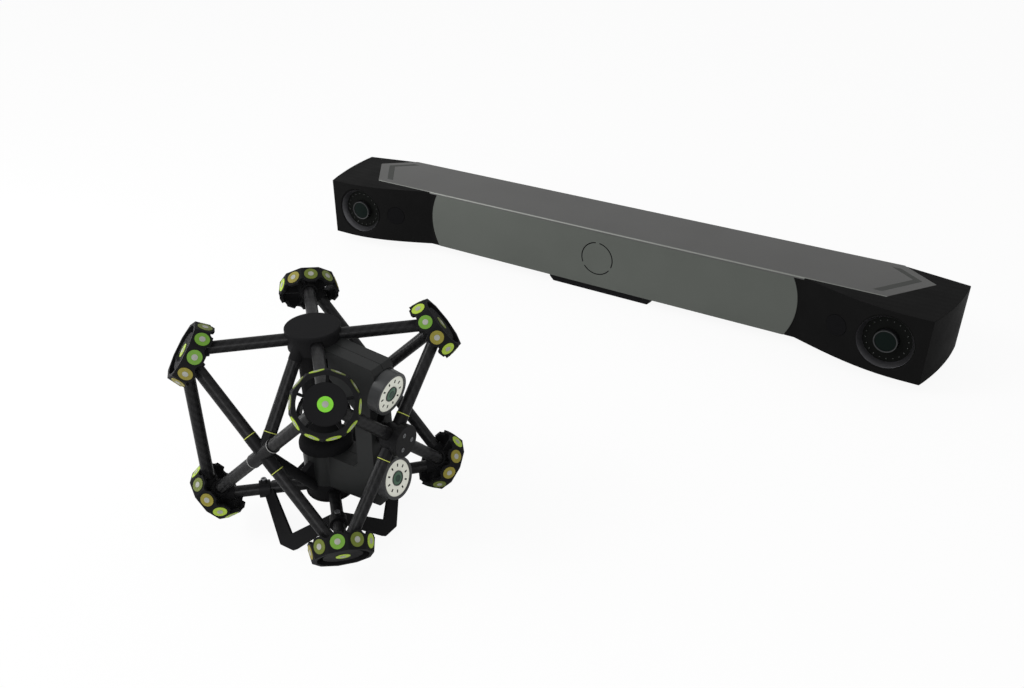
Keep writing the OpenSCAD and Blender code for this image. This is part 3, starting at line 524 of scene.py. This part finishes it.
# %% Cage
CAGE = Vector((-6, -687, 130.5)) * MM
TUBE_R = 6.5 * MM
CORNER = Vector((92, 90, 90)) * MM
TOP = Vector((0, 0, 90)) * MM
BOTTOM = Vector((0, 0, -93.5)) * MM
FRONT = Vector((92, 0, 0)) * MM
CORNERS = [Vector((x, y, z)) for z in (1, -1) for x in (-1, 1) for y in (1, -1)]


def corner(signs):
    return Vector([a * b for a, b in zip(signs, CORNER)])


def along(start, end, gap=0.0):
    """The place of something whose Z runs from start to end, with its origin gap after start."""
    way = (end - start).normalized()
    heading = Matrix.Rotation(math.atan2(way.y, way.x), 4, "Z")
    lean = Matrix.Rotation(math.acos(way.z), 4, "Y")
    return Matrix.Translation(CAGE + start + way * gap) @ heading @ lean


print("cage", [round(2 * a / MM, 1) for a in CORNER], "mm between the heads' middles")

# %% [markdown]
# ## First dressing
# Every CAD node first gets the finish of its material slot, so that none is left bare. The
# tracker lenses share their slot with the scanner's, but their coat is darker.

# %% First dressing of every CAD node
finish_of = {
    "black_plastic": glass_filled_nylon, "target_ring": painted_film_tones[0],
    "target_dot": target_grey, "carbon_tube": glass_filled_nylon, "dark_metal": black_anodised,
    "band": band_print, "screw": screw_steel, "core_metal": machined_aluminium,
    "grip_plastic": grip_elastomer, "key_plastic": key_abs, "foot_metal": powder_coat,
    "barrel": barrel_nylon, "lamp_ring": diffuser, "lens_glass": camera_glass,
    "window_glass": filter_glass, "panel_grey": panel_paint, "plate_grey": plate_paint,
    "chevron_grey": chevron_ink, "bezel": cone_metal, "board": board_resin,
    "status": filter_glass, "socket": socket_nylon,
}
slot_of = {s["node"]: s["material_slot"] for s in frame["record"]["subparts"]}
for name, node in nodes.items():
    node.data.materials.clear()
    node.data.materials.append(finish_of[slot_of[name]])
nodes["tracker_lenses"].data.materials[0] = tracker_glass
print(len(nodes), "nodes dressed in", len(finish_of), "finishes")

# %% [markdown]
# ## Soft-edged bodies
# Widths follow how each piece is made: most of a millimetre on moulded housings and bent feet,
# half a millimetre on machined joints, and a little less on the thin rings of the heads. One
# width for all would be simpler, but it would eat up thin pieces and leave large ones hard.

# %% Heads, hubs and housing
for node in [name for name in nodes if name.startswith("head_")]:
    softened(node, 0.4, glass_filled_nylon)
for node, width, material, slot in (
    ("top_hub", 0.6, glass_filled_nylon, "black_plastic"),
    ("top_hub_cap", 0.4, glass_filled_nylon, "black_plastic"),
    ("bottom_hub", 0.6, glass_filled_nylon, "black_plastic"),
    ("base_disc", 0.5, black_anodised, "dark_metal"),
    ("front_hub", 0.5, black_anodised, "dark_metal"),
    ("front_hub_cap", 0.9, black_anodised, "dark_metal"),
    ("cross_joints", 0.5, black_anodised, "dark_metal"),
    ("side_arms", 0.4, glass_filled_nylon, "black_plastic"),
    ("housing_right_shell", 0.8, housing_abs, "black_plastic"),
    ("housing_left_shell", 0.8, housing_abs, "black_plastic"),
    ("grip_right_shell", 0.8, grip_elastomer, "grip_plastic"),
    ("grip_left_shell", 0.8, grip_elastomer, "grip_plastic"),
    ("camera_barrels", 0.6, barrel_nylon, "barrel"),
    ("foot_right", 0.7, powder_coat, "foot_metal"),
    ("foot_left", 0.7, powder_coat, "foot_metal"),
    ("foot_front", 0.7, powder_coat, "foot_metal"),
    ("foot_rear", 0.7, powder_coat, "foot_metal"),
    ("foot_clips", 0.5, black_anodised, "dark_metal"),
):
    print(softened(node, width, material).name, width, "mm")

# %% [markdown]
# ## Keys
# The trigger, both thumb keys and the power button are pressed, so each rides on a body of its
# own. A finger finds the trigger by touch, so its edge is the roundest and has one segment more.

# %% Keys, each on its own body
for node, width, body, segments in (
    ("scan_trigger", 0.9, "trigger_body", 3),
    ("upper_key", 0.3, "upper_key_body", 2),
    ("lower_key", 0.3, "lower_key_body", 2),
    ("power_button", 0.4, "power_button_body", 2),
):
    print(softened(node, width, key_abs, body, segments).name, "on", body)

# %% [markdown]
# ## Places of the target discs
# A head has a disc on its plate and one on each of its ten flats. All are one film, whose tone
# changes with its angle to the light, and that change is painted as five tones, from olive and
# gold to bright green. A row of digits says which painted tone each disc of a head has: first
# the one on its plate, then those on its flats. The discs that the camera sees follow the photo,
# and the others are mixed in the same way.

# %% Places of the discs
PAINTED_TONE_ROWS = (
    "01023100120", "30112201023", "00102032130", "43330030033",
    "01203102103", "10331030210", "20103031102", "30103020120",
)
FLATS = 10
FLAT_STEP = 360 / FLATS
HEAD_TURN = math.radians(7)
DISC_ON_FLAT = Vector((31.15, 0, -7.5)) * MM

disc_places = []
for c in CORNERS:
    head = along(corner(c), 2 * corner(c)) @ Matrix.Rotation(HEAD_TURN, 4, "Z")
    disc_places.append(head.translation)
    for k in range(FLATS):
        flat = Matrix.Rotation(math.radians(FLAT_STEP * k), 4, "Z")
        disc_places.append(head @ (flat @ DISC_ON_FLAT))
print(len(disc_places), "discs on", len(CORNERS), "heads")

# %% [markdown]
# ## Painted tone of each disc
# The 88 discs are one mesh. It could be taken apart into 88 pieces, but one piece with five
# materials is simpler to handle. So each disc is found as a shell, which is a set of faces that
# share vertices, and all faces of a shell get the painted tone of the disc that is nearest.


# %% Painted tone of each disc
def shells(mesh):
    """For each face a number that it shares with the faces of its own shell."""
    root = list(range(len(mesh.vertices)))

    def top(i):
        while root[i] != i:
            root[i] = root[root[i]]
            i = root[i]
        return i

    for edge in mesh.edges:
        first, second = edge.vertices
        root[top(first)] = top(second)
    return [top(face.vertices[0]) for face in mesh.polygons]


target_rings = softened("target_rings", 0.12, painted_film_tones[0])
for film in painted_film_tones[1:]:
    target_rings.data.materials.append(film)
painted_tone_of = {}
for face, shell in zip(target_rings.data.polygons, shells(target_rings.data)):
    if shell not in painted_tone_of:
        middle = face.center
        nearest = min(range(len(disc_places)), key=lambda i: (disc_places[i] - middle).length)
        head_number, disc_number = divmod(nearest, FLATS + 1)
        painted_tone_of[shell] = int(PAINTED_TONE_ROWS[head_number][disc_number])
    face.material_index = painted_tone_of[shell]
tones = list(painted_tone_of.values())
print(len(tones), "films,", [tones.count(i) for i in range(len(painted_film_tones))], "of each tone")

# %% [markdown]
# ## Ribbed ends of the bar
# The black ends are moulded like the heads, with shallow ribs on top. Ribs could be cut into
# the mesh, but they only just show, so a wave along Y adds them to the bump of the grain, and
# only where the surface faces up. The real ribs are about 9 mm apart; they are drawn 12.6 mm
# apart, so that they show. A wave texture runs through 20 radians in each unit of its scale,
# and its ribs come a full turn apart.

# %% Ribbed ends
WAVE_RADIANS = 20
RIB_PITCH = 4 * math.pi * MM
RIB_DEPTH = 0.2 * MM
UPWARD = 0.8

ribbed_abs = moulded(
    "ribbed_abs_black", "#101010", "#151515", rough=(0.44, 0.54), shine=0.01
)
tree = ribbed_abs.node_tree
grain_bump = next(n for n in tree.nodes if n.type == "BUMP")
place = next(n for n in tree.nodes if n.type == "TEX_COORD")
sides = add_node(tree, "ShaderNodeSeparateXYZ", {0: place.outputs["Normal"]})
upward = add_node(
    tree, "ShaderNodeMath", {0: sides.outputs[2], 1: UPWARD}, operation="GREATER_THAN"
)
ribs = add_node(
    tree, "ShaderNodeTexWave",
    {"Vector": place.outputs["Object"], "Scale": 2 * math.pi / (WAVE_RADIANS * RIB_PITCH)},
    bands_direction="Y",
)
ribs_on_top = add_node(
    tree, "ShaderNodeMath", {0: ribs.outputs["Fac"], 1: upward.outputs[0]}, operation="MULTIPLY"
)
rib_bump = add_node(
    tree, "ShaderNodeBump",
    {"Height": ribs_on_top.outputs[0], "Strength": 0.3, "Distance": RIB_DEPTH,
     "Normal": grain_bump.outputs[0]},
)
tree.links.new(rib_bump.outputs[0], tree.nodes["Principled BSDF"].inputs["Normal"])
print("ribs", round(RIB_PITCH / MM, 1), "mm apart")

# %% [markdown]
# ## Bar pieces
# The inner body, both ends and the rear cover are moulded, the front panel is lacquered metal,
# and the mount plate is powder coated. The camera beam inside is a plain black anodised profile
# of which little shows, so it keeps its exact CAD mesh.

# %% Bar pieces
for node, width, material, slot in (
    ("tracker_body", 0.8, ribbed_abs, "black_plastic"),
    ("tracker_right_end", 1.0, ribbed_abs, "black_plastic"),
    ("tracker_left_end", 1.0, ribbed_abs, "black_plastic"),
    ("front_panel", 0.4, panel_paint, "panel_grey"),
    ("rear_cover", 0.8, glass_filled_nylon, "black_plastic"),
    ("mount_plate", 0.9, powder_coat, "foot_metal"),
    ("connector_sockets", 0.2, socket_nylon, "socket"),
):
    print(softened(node, width, material).name, width, "mm")
nodes["camera_beam"].data.materials[0] = black_anodised

# %% [markdown]
# ## Cut chamfer of the top plate
# The plate is lacquered before its front edge is cut, so the chamfer is bare, brighter metal.
# It is part of the plate's mesh. Its faces lean forward and up, so they are found by their
# normal and get a second material.

# %% Cut chamfer
LEANING = 0.5

cut_chamfer = coated_metal(
    "cut_aluminium_chamfer", "#6c6e6a", "#767874",
    metal=0.5, rough=0.42, dimple_mm=0.6, relief=0.04,
)
top_plate = softened("top_plate", 0.25, plate_paint)
top_plate.data.materials.append(cut_chamfer)
for face in top_plate.data.polygons:
    face.material_index = int(face.normal.y < -LEANING and face.normal.z > LEANING)
print(sum(face.material_index for face in top_plate.data.polygons), "chamfer faces")

# %% [markdown]
# ## Tube pieces
# A tube starts as an open cylinder round the Z axis, gets its wall from Solidify and a small
# bevel at its cut ends. Its UV map is then written in metres, one way round and one way along,
# for the twill. A tube is modelled once for each length and copied to its places.

# %% Carbon tube
TUBE_SIDES = 48
TUBE_WALL = 1.3 * MM
CUT_EDGE = 0.3 * MM
CUT_ANGLE = math.radians(60)


def open_tube(radius, length, wall):
    tube = placed(
        bpy.ops.mesh.primitive_cylinder_add, vertices=TUBE_SIDES, radius=radius, depth=length,
        end_fill_type="NOTHING", location=(0, 0, length / 2),
    )
    add_modifier(tube, "SOLIDIFY", thickness=wall, offset=-1)
    return tube


def carbon_tube(length):
    tube = open_tube(TUBE_R, length, TUBE_WALL)
    add_modifier(
        tube, "BEVEL", width=CUT_EDGE, segments=2, limit_method="ANGLE", angle_limit=CUT_ANGLE
    )
    sheet = tube.data.uv_layers[0]
    sheet.name = "UVMap"
    for face in tube.data.polygons:
        middle = math.atan2(face.center.y, face.center.x)
        for loop in face.loop_indices:
            point = tube.data.vertices[tube.data.loops[loop].vertex_index].co
            turn = math.atan2(point.y, point.x)
            turn += 2 * math.pi * round((middle - turn) / (2 * math.pi))
            sheet.data[loop].uv = (turn * TUBE_R, point.z)
    return tube


print("tubes are", round(2 * TUBE_R / MM), "mm across, wall", round(TUBE_WALL / MM, 1), "mm")

# %% [markdown]
# ## Runs of tube
# Each tube ends inside a sleeve: a socket of a head, a hub or a crossing. So a run is given
# from middle to middle, with how far from each middle the tube starts and ends.

# %% Tubes of the cage
IN_HUB, IN_FRONT_HUB, IN_CROSSING, IN_HEAD, IN_GRIP_HUB = 17, 26, 23, 16, 6
STRUT_TOP = (-3, 26.5, 80)


def side_middle(y):
    return Vector((0, y * CORNER.y, 0))


def strut_top(y):
    return Vector((STRUT_TOP[0], y * STRUT_TOP[1], STRUT_TOP[2])) * MM


strut_runs = [(side_middle(y), strut_top(y)) for y in (1, -1)]
rear_runs = [(corner((-1, y, -1)), corner((-1, y, 1))) for y in (1, -1)]
for node, runs, before, after in (
    ("top_tubes", [(TOP, corner(c)) for c in CORNERS if c.z > 0], IN_HUB, IN_HEAD),
    ("bottom_tubes", [(BOTTOM, corner(c)) for c in CORNERS if c.z < 0], IN_HUB, IN_HEAD),
    ("front_tubes", [(FRONT, corner(c)) for c in CORNERS if c.x > 0], IN_FRONT_HUB, IN_HEAD),
    ("cross_tubes", [(side_middle(c.y), corner(c)) for c in CORNERS], IN_CROSSING, IN_HEAD),
    ("rear_tubes", rear_runs, IN_HEAD, IN_HEAD),
    ("side_struts", strut_runs, IN_CROSSING, IN_GRIP_HUB),
):
    length = (runs[0][1] - runs[0][0]).length - (before + after) * MM
    places = [along(start, end, before * MM) for start, end in runs]
    repeated(
        carbon_tube(length), places, node + "_wound", carbon_twill,
        stands_for=[node],
    )
    print(node, "are", round(length / MM, 1), "mm long")

# %% [markdown]
# ## Sleeve prints
# A fine line is printed round the end of each sleeve: pale green on the plain sleeves, grey on
# the thicker ones that lie over the crossing. Each is a ring 0.8 mm wide that stands a tenth
# of a millimetre proud just before the sleeve's end, made like the tubes. The sleeve that
# points at the camera shows none in the photo.

# %% Sleeve prints
PRINT_WIDTH = 0.8 * MM
PRINT_FROM_END = 1.4
PLAIN_RISE, THICK_RISE = 0.43, 1.08
BARE_SLEEVE = Vector((1, -1, 1))

plain_ends = [(side_middle(c.y), corner(c), IN_CROSSING) for c in CORNERS if c.x != c.z]
plain_ends += [(start, end, IN_CROSSING) for start, end in strut_runs]
plain_ends += [
    (FRONT, corner(c), IN_FRONT_HUB) for c in CORNERS if c.x > 0 and c != BARE_SLEEVE
]
thick_ends = [(side_middle(c.y), corner(c), IN_CROSSING) for c in CORNERS if c.x == c.z]
for ends, rise, material, name in (
    (plain_ends, PLAIN_RISE, band_print, "plain_sleeve_prints"),
    (thick_ends, THICK_RISE, band_grey, "thick_sleeve_prints"),
):
    ring = open_tube(TUBE_R + rise * MM, PRINT_WIDTH, rise * MM)
    places = [along(start, end, (at - PRINT_FROM_END) * MM) for start, end, at in ends]
    repeated(ring, places, name, material, stands_for=["tube_bands"])

# %% [markdown]
# ## Places of the cameras
# The scanner's two cameras look out of the housing's nose, tilted towards each other by ten
# degrees. The tracker's two sit in the ends of the bar, turned inwards by five degrees, where
# the ends swell forward in a curve like a quarter of a sine wave. At each place Z looks out
# along the lens, and 0 is the front of the barrel or of the bar.

# %% Camera places
NOSE_X, CAMERA_RISE, BARREL_REACH = 81.945, 54, 12.5
CAMERA_TILT = math.radians(10)
TRACKER_X, PANEL_Y, TRACKER_Z = 450, -61, 64.8
TRACKER_TILT = math.radians(5)
SWELL, SWELL_FROM, SWELL_TO = 42.6, 323, 478.5


def camera_place(up):
    return (
        Matrix.Translation(CAGE + Vector((NOSE_X, 0, up * CAMERA_RISE)) * MM)
        @ Matrix.Rotation(math.pi / 2 + up * CAMERA_TILT, 4, "Y")
        @ Matrix.Translation((0, 0, BARREL_REACH * MM))
    )


def tracker_place(side):
    share = (TRACKER_X - SWELL_FROM) / (SWELL_TO - SWELL_FROM)
    front_y = PANEL_Y - SWELL * math.sin(share * math.pi / 2)
    return (
        Matrix.Translation(Vector((side * TRACKER_X, front_y, TRACKER_Z)) * MM)
        @ Matrix.Rotation(math.pi / 2, 4, "X")
        @ Matrix.Rotation(-side * TRACKER_TILT, 4, "Y")
    )


CAMERAS = [camera_place(up) for up in (-1, 1)]
TRACKERS = [tracker_place(side) for side in (-1, 1)]
apart = (TRACKERS[1].translation - TRACKERS[0].translation).length
print("tracker lenses", round(apart, 3), "m apart")


# %% [markdown]
# ## Lens cells and glass
# A lens sits in a stepped black cell: a disc whose top is inset and pushed down twice, so that
# each step catches a thin ring of light. The front glass is the cap of a large ball, cut off by
# a plane, because that is the shape that a lens maker grinds.

# %% Stepped discs and caps
FACING_UP = 0.9
SAME_LEVEL = 0.01 * MM
RIM_EDGE = 0.15 * MM
RIM_ANGLE = math.radians(40)


def select_top(piece, level):
    """Goes to edit mode with only the faces at one height selected."""
    bpy.ops.object.mode_set(mode="OBJECT")
    for item in (*piece.data.vertices, *piece.data.edges):
        item.select = False
    for face in piece.data.polygons:
        at_level = abs(face.center.z - level) < SAME_LEVEL
        face.select = face.normal.z > FACING_UP and at_level
    bpy.ops.object.mode_set(mode="EDIT")


def stepped_disc(radius, depth, steps, sides=64):
    """A disc with its top at 0, inset and pushed down once for each (rim, drop) in steps."""
    disc = placed(
        bpy.ops.mesh.primitive_cylinder_add, vertices=sides, radius=radius * MM,
        depth=depth * MM, location=(0, 0, -depth / 2 * MM),
    )
    level = 0.0
    for rim, drop in steps:
        select_top(disc, level)
        bpy.ops.mesh.inset(thickness=rim * MM, depth=0)
        bpy.ops.mesh.extrude_region_move(TRANSFORM_OT_translate={"value": (0, 0, -drop * MM)})
        level -= drop * MM
    bpy.ops.object.mode_set(mode="OBJECT")
    add_modifier(
        disc, "BEVEL", width=RIM_EDGE, segments=2, limit_method="ANGLE", angle_limit=RIM_ANGLE
    )
    return disc


def keep_above(height):
    """Cuts away what lies below a height on the piece just made, and closes the cut."""
    bpy.ops.object.mode_set(mode="EDIT")
    bpy.ops.mesh.select_all(action="SELECT")
    bpy.ops.mesh.bisect(
        plane_co=(0, 0, height), plane_no=(0, 0, 1), clear_inner=True, use_fill=True
    )
    bpy.ops.object.mode_set(mode="OBJECT")


def glass_cap(radius, ball, top):
    """The part of a ball that stands within a radius, with its top at a height."""
    cap = placed(
        bpy.ops.mesh.primitive_uv_sphere_add, segments=64, ring_count=96, radius=ball * MM,
        location=(0, 0, (top - ball) * MM),
    )
    keep_above((top - ball + math.sqrt(ball**2 - radius**2)) * MM)
    return cap


print("rims are rounded by", round(RIM_EDGE / MM, 2), "mm")

# %% [markdown]
# ## Scanner cameras
# Each camera has a black cell with two steps, a green front glass and a small darker disc in
# its middle, where the eye looks into the lens. The pupil could be seen through clear glass,
# but the glass is opaque here, so the pupil lies on it as a low disc.

# %% Scanner cameras
lens_cell = stepped_disc(radius=8, depth=12, steps=[(0.35, 0.4), (0.3, 0.6)])
repeated(
    lens_cell, CAMERAS, "camera_lens_cells", barrel_nylon,
    stands_for=["camera_lenses"],
)
front_glass = glass_cap(radius=7.3, ball=30, top=-0.1)
repeated(front_glass, CAMERAS, "camera_front_glass", camera_glass)
ON_GLASS = Matrix.Translation((0, 0, 0.03 * MM))
pupil = stepped_disc(radius=3.8, depth=0.3, steps=[(0.5, 0.1)], sides=32)
repeated(pupil, [c @ ON_GLASS for c in CAMERAS], "camera_pupils", pupil_glass)

# %% [markdown]
# ## Lamp rings
# Round each camera sits a milky lamp ring, which lights the targets evenly. Ten small dark
# outlets stand in it, one for each lamp. They are low boxes with soft edges, modelled once and
# copied round both rings.

# %% Lamp rings and outlets
OUTLETS = 10
OUTLET_STEP = 360 / OUTLETS
OUTLET_SIZE = (3.4 * MM, 1.8 * MM, 0.3 * MM)
OUTLET_AT = (14 * MM, 0, -0.98 * MM)

softened("lamp_rings", 0.25, diffuser)
outlet = placed(bpy.ops.mesh.primitive_cube_add, size=1, scale=OUTLET_SIZE)
add_modifier(outlet, "BEVEL", width=0.14 * MM, segments=2)
outlet_places = [
    place
    @ Matrix.Rotation(math.radians(OUTLET_STEP * (i + 0.5)), 4, "Z")
    @ Matrix.Translation(OUTLET_AT)
    for place in CAMERAS
    for i in range(OUTLETS)
]
repeated(outlet, outlet_places, "lamp_outlets", board_resin)

# %% [markdown]
# ## Tracker cameras
# The tracker's lenses are wider and flatter, and lie deep in turned recesses. Only the slope of
# a recess is bright; its lip is black. Both are one CAD mesh, so the lip's faces are found by
# how squarely they face along the lens, and get the black of the ends.

# %% Tracker cameras
CELL_SINK = Matrix.Translation((0, 0, -4.4 * MM))
FACING_OUT = 0.8

tracker_cell = stepped_disc(radius=16, depth=3, steps=[(0.7, 0.5), (0.7, 0.8)])
repeated(
    tracker_cell, [t @ CELL_SINK for t in TRACKERS], "tracker_lens_cells", barrel_nylon
)
tracker_front = glass_cap(radius=14.5, ball=117, top=-4.8)
repeated(
    tracker_front, TRACKERS, "tracker_front_glass", tracker_glass,
    stands_for=["tracker_lenses"],
)
bezels = softened("tracker_bezels", 0.3, cone_metal)
bezels.data.materials.append(ribbed_abs)
for face in bezels.data.polygons:
    to_lens = TRACKERS[0 if face.center.x < 0 else 1].inverted().to_3x3()
    face.material_index = int(abs((to_lens @ face.normal).z) > FACING_OUT)
print(sum(face.material_index for face in bezels.data.polygons), "faces of the lips")

# %% [markdown]
# ## Infrared diodes
# Twenty infrared diodes stand in a circle round each tracker lens. Each is a small dome of
# smoky clear epoxy: a ball whose lower half is cut off. There are forty of them and they are
# tiny, so each has few faces.

# %% Diodes
EPOXY_SCALE = 90  # to the metre, so that the tone differs from diode to diode
DIODES = 20
DIODE_STEP = 360 / DIODES
DIODE_AT = (28.5 * MM, 0, -12.6 * MM)

clear_epoxy, tree, surface = start_material(
    "clear_cast_epoxy", Roughness=0.15, Specular_IOR_Level=0.5
)
place = add_node(tree, "ShaderNodeTexCoord").outputs["Object"]
tint = add_node(tree, "ShaderNodeTexNoise", {"Vector": place, "Scale": EPOXY_SCALE})
tone = add_node(
    tree, "ShaderNodeMix",
    {"Factor": tint.outputs["Fac"], DARK: linear("#0b0c0b"), PALE: linear("#2c2e2c")},
    data_type="RGBA",
)
tree.links.new(tone.outputs[MIXED], surface.inputs["Base Color"])

dome = placed(bpy.ops.mesh.primitive_uv_sphere_add, segments=12, ring_count=8, radius=1.1 * MM)
keep_above(0)
dome_places = [
    place
    @ Matrix.Rotation(math.radians(DIODE_STEP * (i + 0.5)), 4, "Z")
    @ Matrix.Translation(DIODE_AT)
    for place in TRACKERS
    for i in range(DIODES)
]
repeated(dome, dome_places, "infrared_diodes", clear_epoxy)

# %% [markdown]
# ## Screws
# The hardware is cap screws with a hexagon socket. One is modelled from a disc with a soft rim;
# a six-sided cutter makes the socket, because a real driver has to fit it. A bump in the
# material would be lighter, but it would stay flat when seen from the side.

# %% Socket screw
SOCKET_SHARE = 0.55


def socket_screw(radius, height):
    screw = stepped_disc(radius, height, steps=[], sides=32)
    cutter = placed(
        bpy.ops.mesh.primitive_cylinder_add, vertices=6, radius=radius * SOCKET_SHARE * MM,
        depth=height * MM,
    )
    add_modifier(screw, "BOOLEAN", operation="DIFFERENCE", object=cutter, solver="EXACT")
    bpy.data.objects.remove(cutter)
    return screw


print("a socket has", SOCKET_SHARE, "of the screw's radius")

# %% [markdown]
# ## Screws of the cage
# Three screws hold the cap of the front hub, on a circle round its middle, and one screw
# tightens the clip of each foot from above its tube. Each pattern is copied to its places.

# %% Screws of the cage
CAP_SCREWS = 3
CAP_START, CAP_STEP = 15, 360 / CAP_SCREWS
ON_CAP = Vector((108.6, 0, 9)) * MM
CLIP_SHARE = 51 / 90
ABOVE_TUBE = Vector((0, 0, 13.7)) * MM

cap_places = [
    Matrix.Translation(CAGE)
    @ Matrix.Rotation(math.radians(CAP_STEP * i + CAP_START), 4, "X")
    @ Matrix.Translation(ON_CAP)
    @ Matrix.Rotation(math.pi / 2, 4, "Y")
    for i in range(CAP_SCREWS)
]
repeated(
    socket_screw(radius=2.4, height=1.2), cap_places, "hub_cap_screws", screw_steel,
    stands_for=["hub_screws"],
)
clip_places = [
    Matrix.Translation(CAGE + BOTTOM.lerp(corner(c), CLIP_SHARE) + ABOVE_TUBE)
    for c in CORNERS
    if c.z < 0
]
repeated(
    socket_screw(radius=3.0, height=2.0), clip_places, "foot_clip_screws", screw_steel
)

# %% [markdown]
# ## Screws of the rear cover
# Ten screws hold the cover at the bar's back, in a row above and a row below. The photo hides
# them, so their places are a guess: evenly along the bar, as such covers are fixed.

# %% Screws of the rear cover
COVER_Y = 57.2
SCREW_COLUMNS = (-420, -210, 0, 210, 420)
SCREW_ROWS = (-42, 38)
back_places = [
    Matrix.Translation(Vector((x, COVER_Y, TRACKER_Z + z)) * MM)
    @ Matrix.Rotation(-math.pi / 2, 4, "X")
    for x in SCREW_COLUMNS
    for z in SCREW_ROWS
]
repeated(
    socket_screw(radius=2.8, height=1.4), back_places, "rear_cover_screws", screw_steel
)

# %% [markdown]
# ## Floor
# The photo has a pure white ground. White paper that is lit until it clips would wash out the
# object, so the paper stays a plain white surface for the light, and only the camera sees it
# glow with a strength of 1. A small share of the lit paper is mixed in, which keeps the shadow.

# %% Floor
GLOW_SHARE = 0.92
floor = placed(bpy.ops.mesh.primitive_plane_add, size=30, location=(0, 0, 0))
floor.name = "floor"
floor_paper, tree, surface = start_material(
    "white_paper_floor", Roughness=0.9, Specular_IOR_Level=0.1
)
surface.inputs["Base Color"].default_value = linear("#f4f4f4")
bright = add_node(tree, "ShaderNodeEmission", {"Color": (1, 1, 1, 1), "Strength": 1.0})
seen = add_node(tree, "ShaderNodeLightPath")
share = add_node(
    tree, "ShaderNodeMath", {0: seen.outputs["Is Camera Ray"], 1: GLOW_SHARE},
    operation="MULTIPLY",
)
paper = add_node(
    tree, "ShaderNodeMixShader",
    {0: share.outputs[0], 1: surface.outputs[0], 2: bright.outputs[0]},
)
tree.links.new(paper.outputs[0], tree.nodes["Material Output"].inputs["Surface"])
floor.data.materials.append(floor_paper)
print("floor shows", GLOW_SHARE, "of plain white")

# %% [markdown]
# ## World
# The world is the even light of a white room. The object gets about half of it, which leaves
# the lamps room to shape it. The camera, and what shiny surfaces show of the room, get all of
# it, so that the backdrop is white everywhere.

# %% World
ROOM_LIGHT, ROOM_SEEN = 0.55, 1.0
world = bpy.data.worlds.new("studio")
bpy.context.scene.world = world
world.use_nodes = True
tree = world.node_tree
backdrop = tree.nodes["Background"]
backdrop.inputs["Color"].default_value = (1, 1, 1, 1)
paths = add_node(tree, "ShaderNodeLightPath")
shown = add_node(
    tree, "ShaderNodeMath",
    {0: paths.outputs["Is Camera Ray"], 1: paths.outputs["Is Glossy Ray"]}, operation="MAXIMUM",
)
clear = add_node(
    tree, "ShaderNodeMath", {0: shown.outputs[0], 1: paths.outputs["Is Transmission Ray"]},
    operation="MAXIMUM",
)
level = add_node(
    tree, "ShaderNodeMapRange",
    {"Value": clear.outputs[0], "To Min": ROOM_LIGHT, "To Max": ROOM_SEEN},
)
tree.links.new(level.outputs["Result"], backdrop.inputs["Strength"])
bpy.context.scene.view_settings.view_transform = "Standard"
print("world", ROOM_LIGHT, "on the object,", ROOM_SEEN, "as seen")

# %% [markdown]
# ## Lamps
# Three round soft lamps stand for a photographer's softboxes. A large one from the upper left
# shapes the top of the bar, a weak one from the right opens the shadows of the housing, and a
# small low one at the left brightens the bar's front, which the photo shows brightest there.


# %% Lamps
def soft_light(name, place, aim, size, power):
    data = bpy.data.lights.new(name, "AREA")
    data.shape, data.size, data.energy = "DISK", size, power
    lamp = bpy.data.objects.new(name, data)
    lamp.location = place
    lamp.rotation_euler = (Vector(aim) - Vector(place)).to_track_quat("-Z", "Y").to_euler()
    bpy.context.scene.collection.objects.link(lamp)
    print(name, size, "m across,", power, "W")


soft_light("key", place=(-2.0, -2.2, 2.4), aim=(0, -0.3, 0.1), size=1.6, power=50)
soft_light("fill", place=(1.0, -2.4, 1.1), aim=(0, -0.6, 0.1), size=1.2, power=14)
soft_light("low_left", place=(-1.05, -1.0, 0.3), aim=(-0.35, -0.05, 0.05), size=0.5, power=5)
